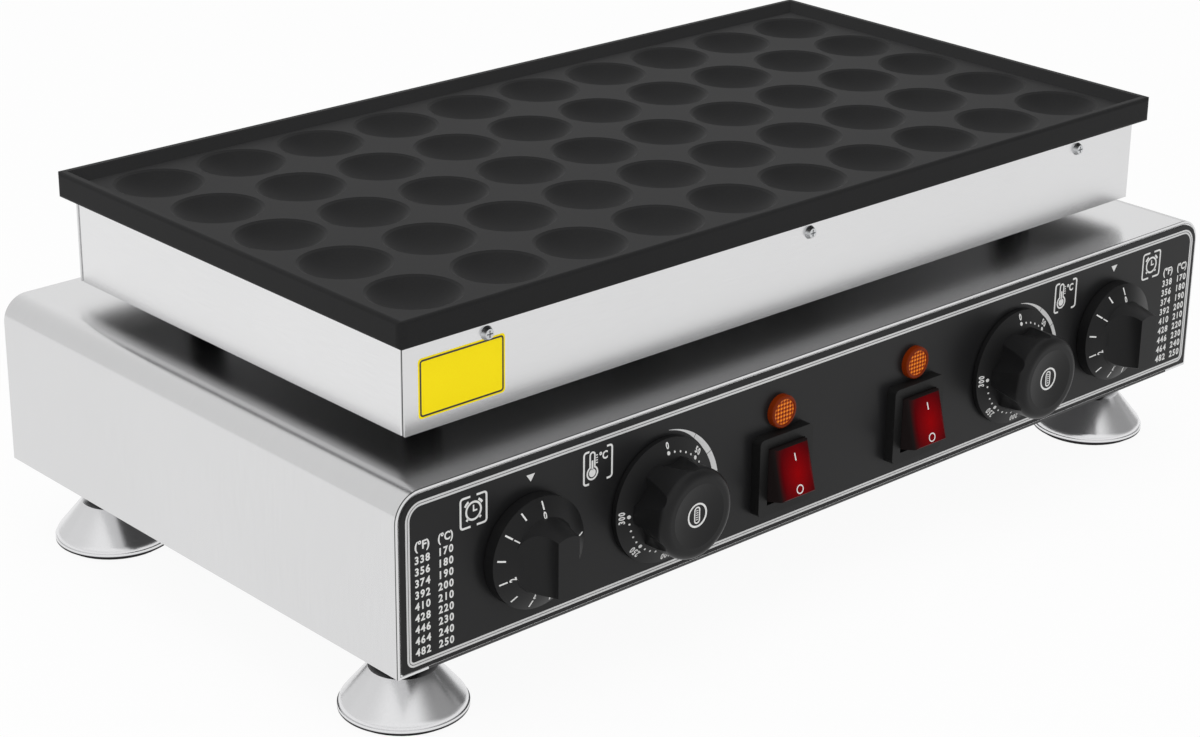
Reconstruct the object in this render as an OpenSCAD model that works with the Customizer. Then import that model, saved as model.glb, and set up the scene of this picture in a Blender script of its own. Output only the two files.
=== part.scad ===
// Electric muffin maker: a cast plate with rows of round wells, closed in by a steel apron
// and carried on four posts over a steel base with two sets of controls.
// Millimetres, +Z up, front at -Y, origin on the floor under the middle of the object's box.

/* [Plate] */
// Number of wells from left to right
well_cols = 10; // [9:1:14]
// Number of wells from front to back
well_rows = 5; // [3:2:7]
// Distance between wells from left to right
pitch_x = 52; // [50:0.5:60]
// Distance between wells from front to back
pitch_y = 52.5; // [50:0.5:60]
// Diameter of a well at the plate's floor
well_d = 46; // [38:0.5:47]
// Depth of a well below the plate's floor
well_depth = 9; // [6:0.5:11]
// Width and depth of the chamfer on a well's lip
well_lip = 0.8; // [0.4:0.1:1.2]
// Flat land between the outer wells and the rim
edge_land = 3.5; // [2.5:0.5:10]
// Height of the rim above the floor
rim_h = 5; // [4.5:0.5:7]
// Width of the rim's flat top
rim_w = 4.5; // [3:0.5:8]
// Width of the rim's inner slope
rim_slope = 7; // [3:0.5:10]
// Height of the plate's outer edge
skirt_h = 14; // [12:0.5:20]
// Radius of the plate's corners seen from above
plate_corner_r = 4; // [3:0.5:8]
// Radius along the plate's outer edges
plate_edge_r = 2; // [1:0.25:2.5]
// Depth of the casting's slab below the plate's outer edge
slab_drop = 6; // [5:0.5:10]
// Depth of the casting's border rib below the plate's outer edge
rib_drop = 16; // [12:0.5:18]
// Thickness of the casting's border rib
rib_t = 12; // [8:0.5:16]

/* [Apron] */
// How far the plate reaches past the apron
overhang = 7; // [4:0.5:12]
// Height of the apron below the plate
apron_h = 46; // [40:0.5:70]
// Width of the apron's folded tabs
tab_w = 12; // [8:0.5:16]
// Outer radius of the apron's folds
fold_r = 2.2; // [2:0.1:4]
// Distance of the plate's screws below the plate's edge
screw_drop = 7; // [6:0.5:9]
// Distance between the plate's screws
screw_pitch = 216; // [120:1:240]

/* [Base] */
// How far the base reaches past the apron on each side
base_ledge = 30; // [20:0.5:50]
// Height of the base's steel shell
base_h = 92; // [88:0.5:120]
// Gap between the base and the apron
air_gap = 11; // [6:0.5:30]
// Outer radius of the base's top folds
base_r = 14; // [8:0.5:20]
// Width of the flange turned in under the base's sides
flange_w = 18; // [12:0.5:24]
// Depth of the front and rear panels' return flanges
panel_return = 14; // [12:0.5:20]
// Thickness of the steel sheet
sheet_t = 1.2; // [0.8:0.1:2]
// Thickness of the printed fascia
fascia_t = 1; // [0.5:0.1:2]
// Width of bare steel left round the fascia
fascia_inset = 2.2; // [1.6:0.1:4]
// Length of a vent slot
vent_l = 46; // [30:1:70]
// Width of a vent slot
vent_w = 4; // [3:0.5:6]
// Number of vent slots in a group
vent_count = 6; // [3:1:7]
// Distance between vent slots
vent_pitch = 9; // [7:0.5:12]

/* [Posts and feet] */
// Diameter of a post between base and pan
post_d = 18; // [14:0.5:26]
// Distance of the posts from the apron's outside
post_inset = 46; // [34:0.5:60]
// Outer diameter of the cable tube between base and pan
conduit_d = 26; // [24:0.5:34]
// Wall of the cable tube
conduit_t = 1.5; // [1:0.1:2]
// Height of the feet under the base
foot_h = 43; // [36:0.5:60]
// Largest diameter of a foot
foot_d = 64; // [56:0.5:66]
// Diameter of a foot's neck
foot_neck_d = 22; // [21:0.5:30]
// Diameter of a foot's cone at its top
foot_top_d = 34; // [30:0.5:40]
// Height of a foot's cone
foot_cone_h = 23.5; // [20:0.5:28]
// Height of the rim round a foot's lower edge
foot_rim_h = 2.2; // [1.5:0.1:4]
// Radius of a foot's shoulder above its rim
foot_edge_r = 5; // [3:0.25:6]
// Distance of the feet from the base's left and right sides
foot_inset_x = 35; // [33:0.5:50]
// Distance of the feet from the base's front and rear
foot_inset_y = 41; // [38:0.5:60]
// How far a rubber pad stands out below its foot
pad_out = 2; // [1.5:0.5:4]
// Depth of the pad's seat in its foot
pad_seat = 3; // [2:0.5:5]

/* [Controls] */
// Distance of a timer from the base's side
timer_inset = 78.5; // [72:0.5:84]
// Distance of a timer below the middle of the fascia
timer_drop = 3; // [0:0.5:8]
// Distance of a thermostat from the base's side
thermostat_inset = 163; // [158:0.5:166]
// Distance of a thermostat below the middle of the fascia
thermostat_drop = 3; // [0:0.5:6]
// Distance of the switches and lamps from the middle
switch_x = 50; // [36:0.5:54]
// Distance of a switch below the middle of the fascia
switch_drop = 10.5; // [8:0.5:14]
// Clearance between a lamp and the switch below it
lamp_gap = 1.5; // [1:0.25:4]
// Diameter of a timer's dial
timer_dial_d = 56.5; // [50:0.5:62]
// How far a timer knob stands out from the fascia
timer_knob_h = 28; // [24:0.5:34]
// Width of a timer knob's grip
timer_grip_w = 13; // [10:0.5:16]
// Length of a timer knob's grip at its front
timer_grip_l = 31; // [26:0.5:34]
// Diameter of a thermostat's dial
thermostat_dial_d = 65; // [60:0.5:68]
// How far a thermostat knob stands out from the fascia
thermostat_knob_h = 27.5; // [22:0.5:30]
// Diameter of a thermostat knob's grip at its front
thermostat_grip_d = 47; // [40:0.5:50]
// Number of finger scoops round a thermostat knob
scoop_count = 6; // [4:1:8]
// Diameter of the control shafts
shaft_d = 6; // [5:0.5:7]
// Width of a switch's housing
switch_w = 38; // [36:0.5:42]
// Height of a switch's housing
switch_h = 42.5; // [41:0.5:46]
// How far a switch's housing stands out from the fascia
switch_out = 6; // [5:0.5:9]
// Width of a rocker
rocker_w = 25; // [20:0.5:25]
// Length of a rocker's face
rocker_l = 27.5; // [24:0.5:28]
// Distance of a rocker's face from its pivot
rocker_rise = 11; // [8:0.5:13]
// Angle of a rocker from the middle to either stop
rocker_tilt = 15; // [8:1:15]
// Diameter of a lamp's lens
lamp_d = 17.5; // [14:0.5:20]

/* [Heating] */
// Diameter of a tubular heating element
element_d = 7; // [6:0.5:8]
// Thickness of the insulating mat under the elements
mat_t = 3; // [2:0.5:5]
// Thickness of the clamp bars under the elements
clamp_t = 3; // [2:0.5:3]
// Width of the clamp bars
clamp_w = 16; // [12:0.5:20]

/* [Cable entry] */
// Distance of the cable gland from the middle
gland_x = 200; // [120:1:230]
// Height of the cable gland above the base's lower edge
gland_z = 40; // [30:0.5:60]
// Diameter of the hole for the cable
cable_bore_d = 9; // [6:0.5:11]
// Diameter of the gland's thread
gland_thread_d = 20; // [16:0.5:24]
// Length of the gland outside the rear panel
gland_out = 24; // [18:0.5:34]

/* [Clearances] */
// Gap between still pieces that slide together
slip = 0.2; // [0.1:0.05:0.4]
// Running gap of a shaft or pin in its bore, on the radius
run = 0.05; // [0.03:0.01:0.08]
// Gap between a moving knob or rocker and what stands still
clear = 0.6; // [0.4:0.1:1]

/* [Hidden] */
$fn = 64;
// Small overlap that lets a cutter pass through a face
eps = 0.5;

// Plan sizes, from the wells outwards
floor_w = (well_cols - 1) * pitch_x + well_d + 2 * edge_land;
floor_d = (well_rows - 1) * pitch_y + well_d + 2 * edge_land;
plate_w = floor_w + 2 * (rim_slope + rim_w);
plate_d = floor_d + 2 * (rim_slope + rim_w);
apron_w = plate_w - 2 * overhang;
apron_d = plate_d - 2 * overhang;
base_w = apron_w + 2 * base_ledge;
base_d = apron_d + 2 * base_ledge;
casting_w = apron_w - 2 * (sheet_t + slip);
casting_d = apron_d - 4 * sheet_t - 2 * slip;

// Levels, from the floor upwards
base_z = foot_h;
base_top = base_z + base_h;
apron_z = base_top + air_gap;
plate_z = apron_z + apron_h;
floor_z = plate_z + skirt_h - rim_h;
slab_z = plate_z - slab_drop;
clamp_z = slab_z - element_d;
rib_z = plate_z - rib_drop;

// Wells
bowl_r = (pow(well_d / 2, 2) + pow(well_depth, 2)) / (2 * well_depth);
lip_r = sqrt(pow(bowl_r, 2) - pow(bowl_r - well_depth + well_lip, 2));

// Fasteners: shank radius, head radius and head height
plate_screw = [2.5, 3.6, 2.4];
cover_screw = [2, 3.5, 2];
clamp_screw = [2.5, 4.4, 3];
post_bolt = [3, 5.6, 4];
foot_bolt = [4, 7.2, 5.5];
// Share of a domed head's radius left at its top, and width of its cross slot
head_taper = 0.7;
head_slot = 1 / 5;
cover_screw_pitch = 200;
cover_screw_l = 8;
plate_screw_l = 12;
// Room left under a screw's end in its blind hole
blind_room = 1;
// The pan leaves room for the clamps' screw heads over the insulating mat
mat_gap = 0.8;
pan_z = clamp_z - clamp_t - clamp_screw[2] - mat_gap - mat_t - sheet_t;
thread_end = 2;
foot_nut_h = 6.5;
foot_counterbore_r = foot_bolt[1] + 1.2;
foot_web = 13;
// Step of a foot's rim past its shoulder, and where the shoulder meets the cone
foot_rim_w = 0.6;
foot_edge_angle = 40;
// Rise of a foot's top from its cone to its neck
foot_top_rise = 1.5;
pad_inset = 3;
pad_r = foot_d / 2 - pad_inset;

// Places of what stands in fours
post_places = [for (sy = [-1, 1], sx = [-1, 1])
    [sx * (apron_w / 2 - post_inset), sy * (apron_d / 2 - post_inset)]];
foot_places = [for (sy = [-1, 1], sx = [-1, 1])
    [sx * (base_w / 2 - foot_inset_x), sy * (base_d / 2 - foot_inset_y)]];

// Controls, measured on the fascia
timer_x = base_w / 2 - timer_inset;
timer_z = base_h / 2 - timer_drop;
thermostat_x = base_w / 2 - thermostat_inset;
thermostat_z = base_h / 2 - thermostat_drop;
switch_z = base_h / 2 - switch_drop;
lamp_z = switch_z + switch_h / 2 + lamp_gap + lamp_d / 2;
panel_back = -(fascia_t + sheet_t);
// Width, thickness and length of a contact blade, and the distance between blades
spade = [6, 0.8, 8];
spade_pitch = 8;
case_corner_r = 4;
bush_wall = 1.5;
bush_r = shaft_d / 2 + bush_wall;
bush_out = 5;
nut_h = 3;
nut_wall = 2.6;
nut_r = bush_r + nut_wall;
shaft_r = shaft_d / 2;
shaft_flat = shaft_r * 0.72;
shaft_tip = 18;
flat_start = bush_out + 2 * clear;
shaft_root = -16;
timer_body_w = 50;
timer_body_l = 32;
thermostat_body_w = 44;
thermostat_body_h = 36;
thermostat_body_l = 34;
knob_wall = 2.2;
knob_recess = 2;

// Timer knob
timer_dial_edge = 6.8;
timer_dome = 14;
timer_dome_r = (pow(timer_dial_d / 2, 2) + pow(timer_dome - timer_dial_edge, 2))
    / (2 * (timer_dome - timer_dial_edge));
timer_flare = 8.5;
timer_root_l = timer_grip_l + timer_flare;
timer_scoop_r = 16;
timer_scoop_top = 2;
timer_scoop_z = timer_knob_h - timer_scoop_top;

// Thermostat knob
thermostat_dial_edge = 3.2;
thermostat_dial_rise = 6.4;
thermostat_root_d = thermostat_grip_d;
grip_edge_r = 4.5;
// Width of the level ring round the dish, and the dish's depth
dish_land = 2.5;
dish_r = thermostat_grip_d / 2 - grip_edge_r - dish_land;
dish_depth = 1.8;
dish_sphere_r = (pow(dish_r, 2) + pow(dish_depth, 2)) / (2 * dish_depth);
scoop_r = 14;
scoop_depth = 3.4;
// The scoops run out just short of the grip's front
scoop_lead = 0.3;
scoop_tilt = atan((scoop_depth + scoop_lead) / (thermostat_knob_h - thermostat_dial_rise));
// Overlap of the dial's cone and the grip
dial_overlap = 0.4;

// Switch
switch_corner_r = 3;
switch_lip = 4;
switch_body_w = switch_w - 2 * switch_lip;
switch_body_h = switch_h - 2 * switch_lip;
switch_body_l = 30;
pivot_drop = 2.5;
pivot_out = switch_out - pivot_drop;
pin_r = 1.5;
pin_seat = 2.5;
well_w = rocker_w + 2 * clear;
pin_l = well_w + 2 * pin_seat;
rocker_back = 3;
rocker_edge_r = 2.5;
rocker_side_r = 4.5;
rocker_bulge = 0.8;
bulge_r = (pow(rocker_l / 2, 2) + pow(rocker_bulge, 2)) / (2 * rocker_bulge);
// The well clears a rocker's end where it dips below the housing's front
well_h = rocker_l * cos(rocker_tilt) + 2 * clear
    + 2 * (pivot_drop + rocker_l / 2 * sin(rocker_tilt)) * tan(rocker_tilt);
well_floor = pivot_out - norm([rocker_l / 2, rocker_back]) - clear;

// Lamp
lens_h = 3.8;
lens_edge_r = 1;
// Width of the rim round a lens's face, and the face's depth below it
lens_rim_w = 1.7;
lens_recess = 0.6;
lamp_body_r = 5.9;
lamp_body_l = 24;
lamp_nut_h = 4;

// Heating
zone_w = floor_w / 2;
run_count = well_rows - 1;
element_r = element_d / 2;
element_z = slab_z - element_r;
bend_r = pitch_y / 2;
run_in = 45;
run_margin = 24;
run_out = zone_w - run_margin - bend_r;
pin_start = 26;
cold_pin_r = 1.6;
cold_pin_l = 12;
clamp_x = [0.35 * zone_w, 0.72 * zone_w];
boss_y = bend_r * 2;
boss_r = 7;
clamp_end = 4;
clamp_corner_r = 2;
mat_hole_gap = 3;
probe_l = 130;
probe_start = 66;
capillary_r = 0.9;
lead_r = 1.3;
lead_lane = [3.6, 5];
capillary_lane = 8;
capillary_z = clamp_z - clamp_t / 2;
conduit_collar_h = 2;
conduit_collar_w = 5;
conduit_reach = 8;
// Number of flats round a wire, and the lengths over which wires bend and run free
wire_sides = 8;
wire_bend = 4;
wire_end = 6;
wire_sweep = 24;

// Terminal block
terminal_w = 66;
terminal_d = 22;
terminal_h = 24;
terminal_y = 60;
terminal_top = base_z + sheet_t + terminal_h;
terminal_pole = 13;
terminal_bore_r = 2.5;
function terminal_x(s, t) = s * (1 - t / 2) * terminal_pole;

// Cable gland
gland_hex_h = 7;
gland_hex_wall = 4;
gland_hex_r = gland_thread_d / 2 + gland_hex_wall;
gland_inner = 12;
gland_nut_h = 5;
gland_step = 2;
gland_lip = 2.5;

// The object's box is centred on the origin, so the body stands back by half the
// difference between what stands out at its front and at its rear.
front_reach = fascia_t + max(timer_knob_h, thermostat_knob_h);
body_y = (front_reach - gland_out) / 2;

// Shared shapes

module placed() {
    translate([0, body_y, 0]) children();
}

// Stands a flat outline up: its own y becomes z, and it is t thick towards the front.
module upright(t) {
    rotate([90, 0, 0]) linear_extrude(t) children();
}

// Puts a piece on the fascia, with its own z pointing out to the front.
module on_fascia(x, z) {
    translate([x, -base_d / 2 - fascia_t, base_z + z]) rotate([90, 0, 0]) children();
}

// Puts a piece on the rear panel, with its own z pointing out to the rear.
module on_rear(x, z) {
    translate([x, base_d / 2, base_z + z]) rotate([-90, 0, 0]) children();
}

module rounded_rect(w, d, r) {
    square([w - 2 * r, d], center = true);
    square([w, d - 2 * r], center = true);
    for (sx = [-1, 1], sy = [-1, 1])
        translate([sx * (w / 2 - r), sy * (d / 2 - r)]) circle(r);
}

// A rectangle standing on its lower edge, with round upper corners.
module arch_rect(w, h, r) {
    translate([-w / 2, 0]) square([w, h - r]);
    translate([-(w / 2 - r), 0]) square([w - 2 * r, h]);
    for (s = [-1, 1])
        translate([s * (w / 2 - r), h - r]) circle(r);
}

// A slot with round ends, centred, along x.
module slot(l, w) {
    square([l - w, w], center = true);
    for (s = [-1, 1])
        translate([s * (l - w) / 2, 0]) circle(w / 2);
}

module ring(r_out, r_in, h) {
    difference() {
        cylinder(r = r_out, h = h);
        translate([0, 0, -eps]) cylinder(r = r_in, h = h + 2 * eps);
    }
}

module hex_nut(r_out, r_in, h) {
    difference() {
        cylinder(r = r_out, h = h, $fn = 6);
        translate([0, 0, -eps]) cylinder(r = r_in, h = h + 2 * eps);
    }
}

// A screw with a domed head below z = 0 and its shank of length l above it.
module pan_screw(kind, l) {
    cylinder(r = kind[0], h = l);
    difference() {
        translate([0, 0, -kind[2]]) cylinder(r1 = kind[1] * head_taper, r2 = kind[1], h = kind[2]);
        translate([0, 0, -kind[2] - eps]) linear_extrude(eps + kind[2] / 2) {
            square([kind[1], kind[1] * head_slot], center = true);
            square([kind[1] * head_slot, kind[1]], center = true);
        }
    }
}

// A hexagon bolt with its head below z = 0 and its shank of length l above it.
module hex_bolt(kind, l) {
    cylinder(r = kind[0], h = l);
    translate([0, 0, -kind[2]]) cylinder(r = kind[1], h = kind[2], $fn = 6);
}

// A round wire through a list of points, with a radius at each point.
function unit(v) = v / norm(v);
function way(p, i) = unit(
    (i > 0 ? unit(p[i] - p[i - 1]) : [0, 0, 0])
    + (i < len(p) - 1 ? unit(p[i + 1] - p[i]) : [0, 0, 0]));
function ring_points(c, t, r) =
    let (askew = [1, 1.3, 0.7], u = unit(cross(t, askew)), v = cross(t, u))
    [for (k = [0 : wire_sides - 1])
        c + r * (cos(k * 360 / wire_sides) * u + sin(k * 360 / wire_sides) * v)];

module wire(p, radii) {
    n = wire_sides;
    last = len(p) - 1;
    points = [for (i = [0 : last], q = ring_points(p[i], way(p, i), radii[i])) q];
    sides = [for (i = [0 : last - 1], k = [0 : n - 1])
        each [[i * n + k, (i + 1) * n + (k + 1) % n, i * n + (k + 1) % n],
              [i * n + k, (i + 1) * n + k, (i + 1) * n + (k + 1) % n]]];
    start = [[for (k = [0 : n - 1]) k]];
    end = [[for (k = [n - 1 : -1 : 0]) last * n + k]];
    polyhedron(points, concat(sides, start, end));
}

// Plate

// Half section of a well: a bowl with a chamfered lip.
module well_section() {
    intersection() {
        translate([0, bowl_r - well_depth]) circle(bowl_r, $fn = 128);
        translate([0, -well_depth]) square([well_d, well_depth - well_lip]);
    }
    polygon([[0, -well_lip - eps], [lip_r, -well_lip], [well_d / 2 + well_lip, 0],
        [well_d / 2 + well_lip, eps], [0, eps]]);
}

module wells() {
    for (i = [0 : well_cols - 1], j = [0 : well_rows - 1])
        translate([(i - (well_cols - 1) / 2) * pitch_x, (j - (well_rows - 1) / 2) * pitch_y, floor_z])
            rotate_extrude()
                well_section();
}

// Section of the space inside the rim, over the floor.
module tray_section(w) {
    half = w / 2;
    polygon([[-half, 0], [half, 0], [half + rim_slope, rim_h], [half + rim_slope, rim_h + eps],
        [-half - rim_slope, rim_h + eps], [-half - rim_slope, rim_h]]);
}

module plate_rim() {
    intersection() {
        translate([0, 0, plate_z]) linear_extrude(skirt_h)
            rounded_rect(plate_w, plate_d, plate_corner_r);
        translate([0, plate_d / 2, plate_z + skirt_h / 2]) upright(plate_d)
            rounded_rect(plate_w, skirt_h, plate_edge_r);
        translate([-plate_w / 2, 0, plate_z + skirt_h / 2]) rotate([0, 0, 90]) upright(plate_w)
            rounded_rect(plate_d, skirt_h, plate_edge_r);
    }
}

module plate_screw_holes(r) {
    for (sy = [-1, 1], i = [-1, 0, 1])
        translate([i * screw_pitch, sy * apron_d / 2, plate_z - screw_drop])
            rotate([sy * 90, 0, 0]) translate([0, 0, -eps]) cylinder(r = r, h = plate_screw_l + eps);
}

module griddle_plate() {
    color("#2b2b2d") difference() {
        union() {
            plate_rim();
            translate([0, 0, slab_z]) linear_extrude(slab_drop + eps)
                rounded_rect(casting_w, casting_d, fold_r);
            translate([0, 0, rib_z]) linear_extrude(rib_drop) difference() {
                rounded_rect(casting_w, casting_d, fold_r);
                square([casting_w - 2 * rib_t, casting_d - 2 * rib_t], center = true);
            }
            for (s = [-1, 1], x = clamp_x, y = [-boss_y, boss_y])
                translate([s * x, y, clamp_z]) cylinder(r = boss_r, h = element_d + eps);
        }
        intersection() {
            translate([0, plate_d / 2, floor_z]) upright(plate_d) tray_section(floor_w);
            translate([-plate_w / 2, 0, floor_z]) rotate([0, 0, 90]) upright(plate_w)
                tray_section(floor_d);
        }
        wells();
        plate_screw_holes(plate_screw[0] + slip / 4);
        clamp_screw_holes();
    }
}

module plate_screws() {
    color("silver") for (sy = [-1, 1], i = [-1, 0, 1])
        translate([i * screw_pitch, sy * apron_d / 2, plate_z - screw_drop])
            rotate([sy * 90, 0, 0]) pan_screw(plate_screw, plate_screw_l - blind_room);
}

// Apron and pan

module apron_face(sy) {
    color("#c3c4c6") difference() {
        translate([-apron_w / 2, sy > 0 ? apron_d / 2 - sheet_t : -apron_d / 2, apron_z])
            cube([apron_w, sheet_t, apron_h]);
        plate_screw_holes(plate_screw[0] + slip);
    }
}

// A side sheet with tabs folded in behind the front and rear sheets.
module apron_side(sx) {
    side_d = apron_d - 2 * sheet_t;
    color("#b4b5b7") difference() {
        translate([0, 0, apron_z]) linear_extrude(apron_h) intersection() {
            difference() {
                rounded_rect(apron_w, side_d, fold_r);
                rounded_rect(apron_w - 2 * sheet_t, side_d - 2 * sheet_t, fold_r - sheet_t);
            }
            translate([sx * (apron_w - tab_w) / 2, 0]) square([tab_w, side_d], center = true);
        }
        plate_screw_holes(plate_screw[0] + slip);
    }
}

// A shallow pan whose flange carries the plate's border rib.
module pan_bottom() {
    pan_w = apron_w - 2 * sheet_t;
    pan_d = apron_d - 4 * sheet_t;
    color("#a6a7aa") difference() {
        translate([0, 0, pan_z]) linear_extrude(rib_z - pan_z)
            rounded_rect(pan_w, pan_d, fold_r);
        translate([0, 0, pan_z + sheet_t]) linear_extrude(rib_z - pan_z)
            rounded_rect(pan_w - 2 * sheet_t, pan_d - 2 * sheet_t, fold_r - sheet_t);
        for (p = post_places)
            translate([p[0], p[1], pan_z - eps]) cylinder(r = post_bolt[0] + slip, h = sheet_t + 2 * eps);
        translate([0, 0, pan_z - eps]) cylinder(r = conduit_d / 2 + slip, h = sheet_t + 2 * eps);
    }
}

module insulation_mat() {
    margin = sheet_t + slip;
    color("#e8e4d8") translate([0, 0, pan_z + sheet_t]) linear_extrude(mat_t) difference() {
        rounded_rect(casting_w - 2 * margin, casting_d - 2 * margin, fold_r);
        for (p = post_places)
            translate(p) circle(post_bolt[1] + mat_hole_gap);
        circle(conduit_d / 2 + mat_hole_gap);
    }
}

// Heating

// A tubular element under one half of the plate: runs under the lands between the rows
// of wells, joined by half-circle bends, with a cold pin at each end.
module heating_element(s) {
    y0 = -(run_count - 1) / 2 * pitch_y;
    y1 = -y0;
    color("#5b5a58") scale_side(s) {
        for (j = [0 : run_count - 1]) {
            start = j == 0 || j == run_count - 1 ? pin_start : run_in;
            translate([start, y0 + j * pitch_y, element_z]) rotate([0, 90, 0])
                cylinder(r = element_r, h = run_out - start);
        }
        for (j = [0 : run_count - 2])
            translate([j % 2 == 0 ? run_out : run_in, y0 + (j + 0.5) * pitch_y, element_z])
                rotate([0, 0, j % 2 == 0 ? -90 : 90]) rotate_extrude(angle = 180)
                    translate([bend_r, 0]) circle(element_r);
        for (y = [y0, y1])
            translate([pin_start - cold_pin_l, y, element_z]) rotate([0, 90, 0])
                cylinder(r = cold_pin_r, h = cold_pin_l);
    }
}

// Turns what is drawn for the right half round to the left half.
module scale_side(s) {
    rotate([0, 0, s > 0 ? 0 : 180]) children();
}

module clamp_bars() {
    bar_l = 2 * (boss_y + boss_r + clamp_end);
    color("#8d8e91") for (s = [-1, 1], x = clamp_x)
        translate([s * x, 0, clamp_z - clamp_t]) difference() {
            linear_extrude(clamp_t) rounded_rect(clamp_w, bar_l, clamp_corner_r);
            for (y = [-boss_y, boss_y])
                translate([0, y, -eps]) cylinder(r = clamp_screw[0] + slip, h = clamp_t + 2 * eps);
        }
}

module clamp_screw_holes() {
    for (s = [-1, 1], x = clamp_x, y = [-boss_y, boss_y])
        translate([s * x, y, clamp_z - eps]) cylinder(r = clamp_screw[0] + slip / 4, h = element_d + eps);
}

module clamp_screws() {
    color("#77787a") for (s = [-1, 1], x = clamp_x, y = [-boss_y, boss_y])
        translate([s * x, y, clamp_z - clamp_t]) pan_screw(clamp_screw, clamp_t + element_d - blind_room);
}

// A thermostat's sensing bulb, clamped under the plate, with its fine tube led down
// through the cable tube to the back of the thermostat.
module probe(s) {
    lane = s * capillary_lane;
    back = [s * thermostat_x, -base_d / 2 + sheet_t + thermostat_body_l, base_z + thermostat_z];
    route = [
        [s * (probe_start + probe_l), 0, element_z],
        [s * probe_start, 0, element_z],
        [s * (probe_start - wire_bend), 0, element_z],
        [s * (probe_start - 4 * wire_bend), 0, capillary_z],
        [lane + s * wire_bend, 0, capillary_z],
        [lane, 0, capillary_z - wire_bend],
        [lane, 0, base_top - wire_sweep + wire_bend],
        [lane + s * 2 * wire_bend, -wire_bend, base_top - wire_sweep - wire_bend],
        [back[0], back[1] + wire_sweep, back[2] + wire_end],
        [back[0], back[1] + wire_end, back[2]],
        back
    ];
    radii = [for (i = [0 : len(route) - 1]) i < 2 ? element_r : capillary_r];
    color("#b87333") wire(route, radii);
}

// Leads from the elements' cold pins, down the cable tube to the terminal block.
module heater_leads() {
    y_pin = (run_count - 1) / 2 * pitch_y;
    pin_tip = pin_start - cold_pin_l;
    color("#d8d4cc") for (s = [-1, 1], t = [-1, 1]) {
        lane = [s * lead_lane[0], t * lead_lane[1]];
        route = [
            [s * pin_tip, t * y_pin, element_z],
            [s * (pin_tip - wire_bend), t * y_pin, element_z],
            [lane[0], t * (y_pin - 2 * wire_bend), element_z],
            [lane[0], lane[1] + t * wire_bend, element_z],
            [lane[0], lane[1], element_z - wire_bend],
            [lane[0], lane[1], base_top - wire_sweep + 2 * wire_bend * t],
            [terminal_x(s, t), terminal_y, terminal_top + wire_end],
            [terminal_x(s, t), terminal_y, terminal_top]
        ];
        wire(route, [for (i = [0 : len(route) - 1]) lead_r]);
    }
}

// A tube with a collar that leads the cables from the base up into the pan.
module cable_conduit() {
    low = base_top - sheet_t - conduit_reach;
    high = pan_z + sheet_t + conduit_reach / 4;
    color("#9a9b9e") {
        translate([0, 0, low]) ring(conduit_d / 2, conduit_d / 2 - conduit_t, high - low);
        translate([0, 0, base_top])
            ring(conduit_d / 2 + conduit_collar_w, conduit_d / 2 - conduit_t, conduit_collar_h);
    }
}

// Posts

module post(i) {
    color("#86878a") translate([post_places[i][0], post_places[i][1], base_top])
        ring(post_d / 2, post_bolt[0] + slip, pan_z - base_top);
}

module post_bolts() {
    shank = pan_z + 2 * sheet_t - base_top + post_bolt[2] + thread_end;
    color("#77787a") for (p = post_places) {
        translate([p[0], p[1], base_top - sheet_t]) hex_bolt(post_bolt, shank);
        translate([p[0], p[1], pan_z + sheet_t])
            hex_nut(post_bolt[1], post_bolt[0] + run, post_bolt[2]);
    }
}

// Base

module base_shell() {
    color("#b9babc") difference() {
        translate([0, base_d / 2, base_z]) upright(base_d) difference() {
            arch_rect(base_w, base_h, base_r);
            translate([0, sheet_t])
                arch_rect(base_w - 2 * sheet_t, base_h - 2 * sheet_t, base_r - sheet_t);
            translate([0, sheet_t / 2])
                square([base_w - 2 * flange_w, sheet_t + 2 * eps], center = true);
        }
        for (p = post_places)
            translate([p[0], p[1], base_top - sheet_t - eps])
                cylinder(r = post_bolt[0] + slip, h = sheet_t + 2 * eps);
        translate([0, 0, base_top - sheet_t - eps])
            cylinder(r = conduit_d / 2 + slip, h = sheet_t + 2 * eps);
    }
}

// The opening of the shell, made smaller all round.
module shell_opening(inset) {
    gap = sheet_t + inset;
    translate([0, gap]) arch_rect(base_w - 2 * gap, base_h - 2 * gap, base_r - gap);
}

// A panel with flanges turned back all round, its face at z = 0 and its flanges below it.
module flanged_panel() {
    difference() {
        translate([0, 0, -panel_return]) linear_extrude(panel_return) shell_opening(slip);
        translate([0, 0, -panel_return - eps]) linear_extrude(panel_return - sheet_t + eps)
            shell_opening(slip + sheet_t);
    }
}

// Holes that the controls need through the front panel and the fascia.
module control_holes() {
    depth = fascia_t + sheet_t + 2 * eps;
    for (s = [-1, 1]) {
        on_fascia(s * timer_x, timer_z) translate([0, 0, -depth + eps])
            cylinder(r = bush_r + slip, h = depth);
        on_fascia(s * thermostat_x, thermostat_z) translate([0, 0, -depth + eps])
            cylinder(r = bush_r + slip, h = depth);
        on_fascia(s * switch_x, lamp_z) translate([0, 0, -depth + eps])
            cylinder(r = lamp_body_r + slip, h = depth);
        on_fascia(s * switch_x, switch_z) translate([0, 0, -depth + eps]) linear_extrude(depth)
            square([switch_body_w + 2 * slip, switch_body_h + 2 * slip], center = true);
    }
}

module cover_screw_places() {
    for (sy = [-1, 1], i = [-1, 0, 1])
        translate([i * cover_screw_pitch, sy * (base_d / 2 - panel_return / 2), base_z])
            children();
}

module cover_screw_cut(r) {
    cover_screw_places() translate([0, 0, -eps]) cylinder(r = r, h = cover_screw_l + 2 * eps);
}

module front_panel() {
    color("#c8c9cb") difference() {
        translate([0, -base_d / 2, base_z]) rotate([90, 0, 0]) flanged_panel();
        control_holes();
        cover_screw_cut(cover_screw[0] + slip / 4);
    }
}

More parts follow.
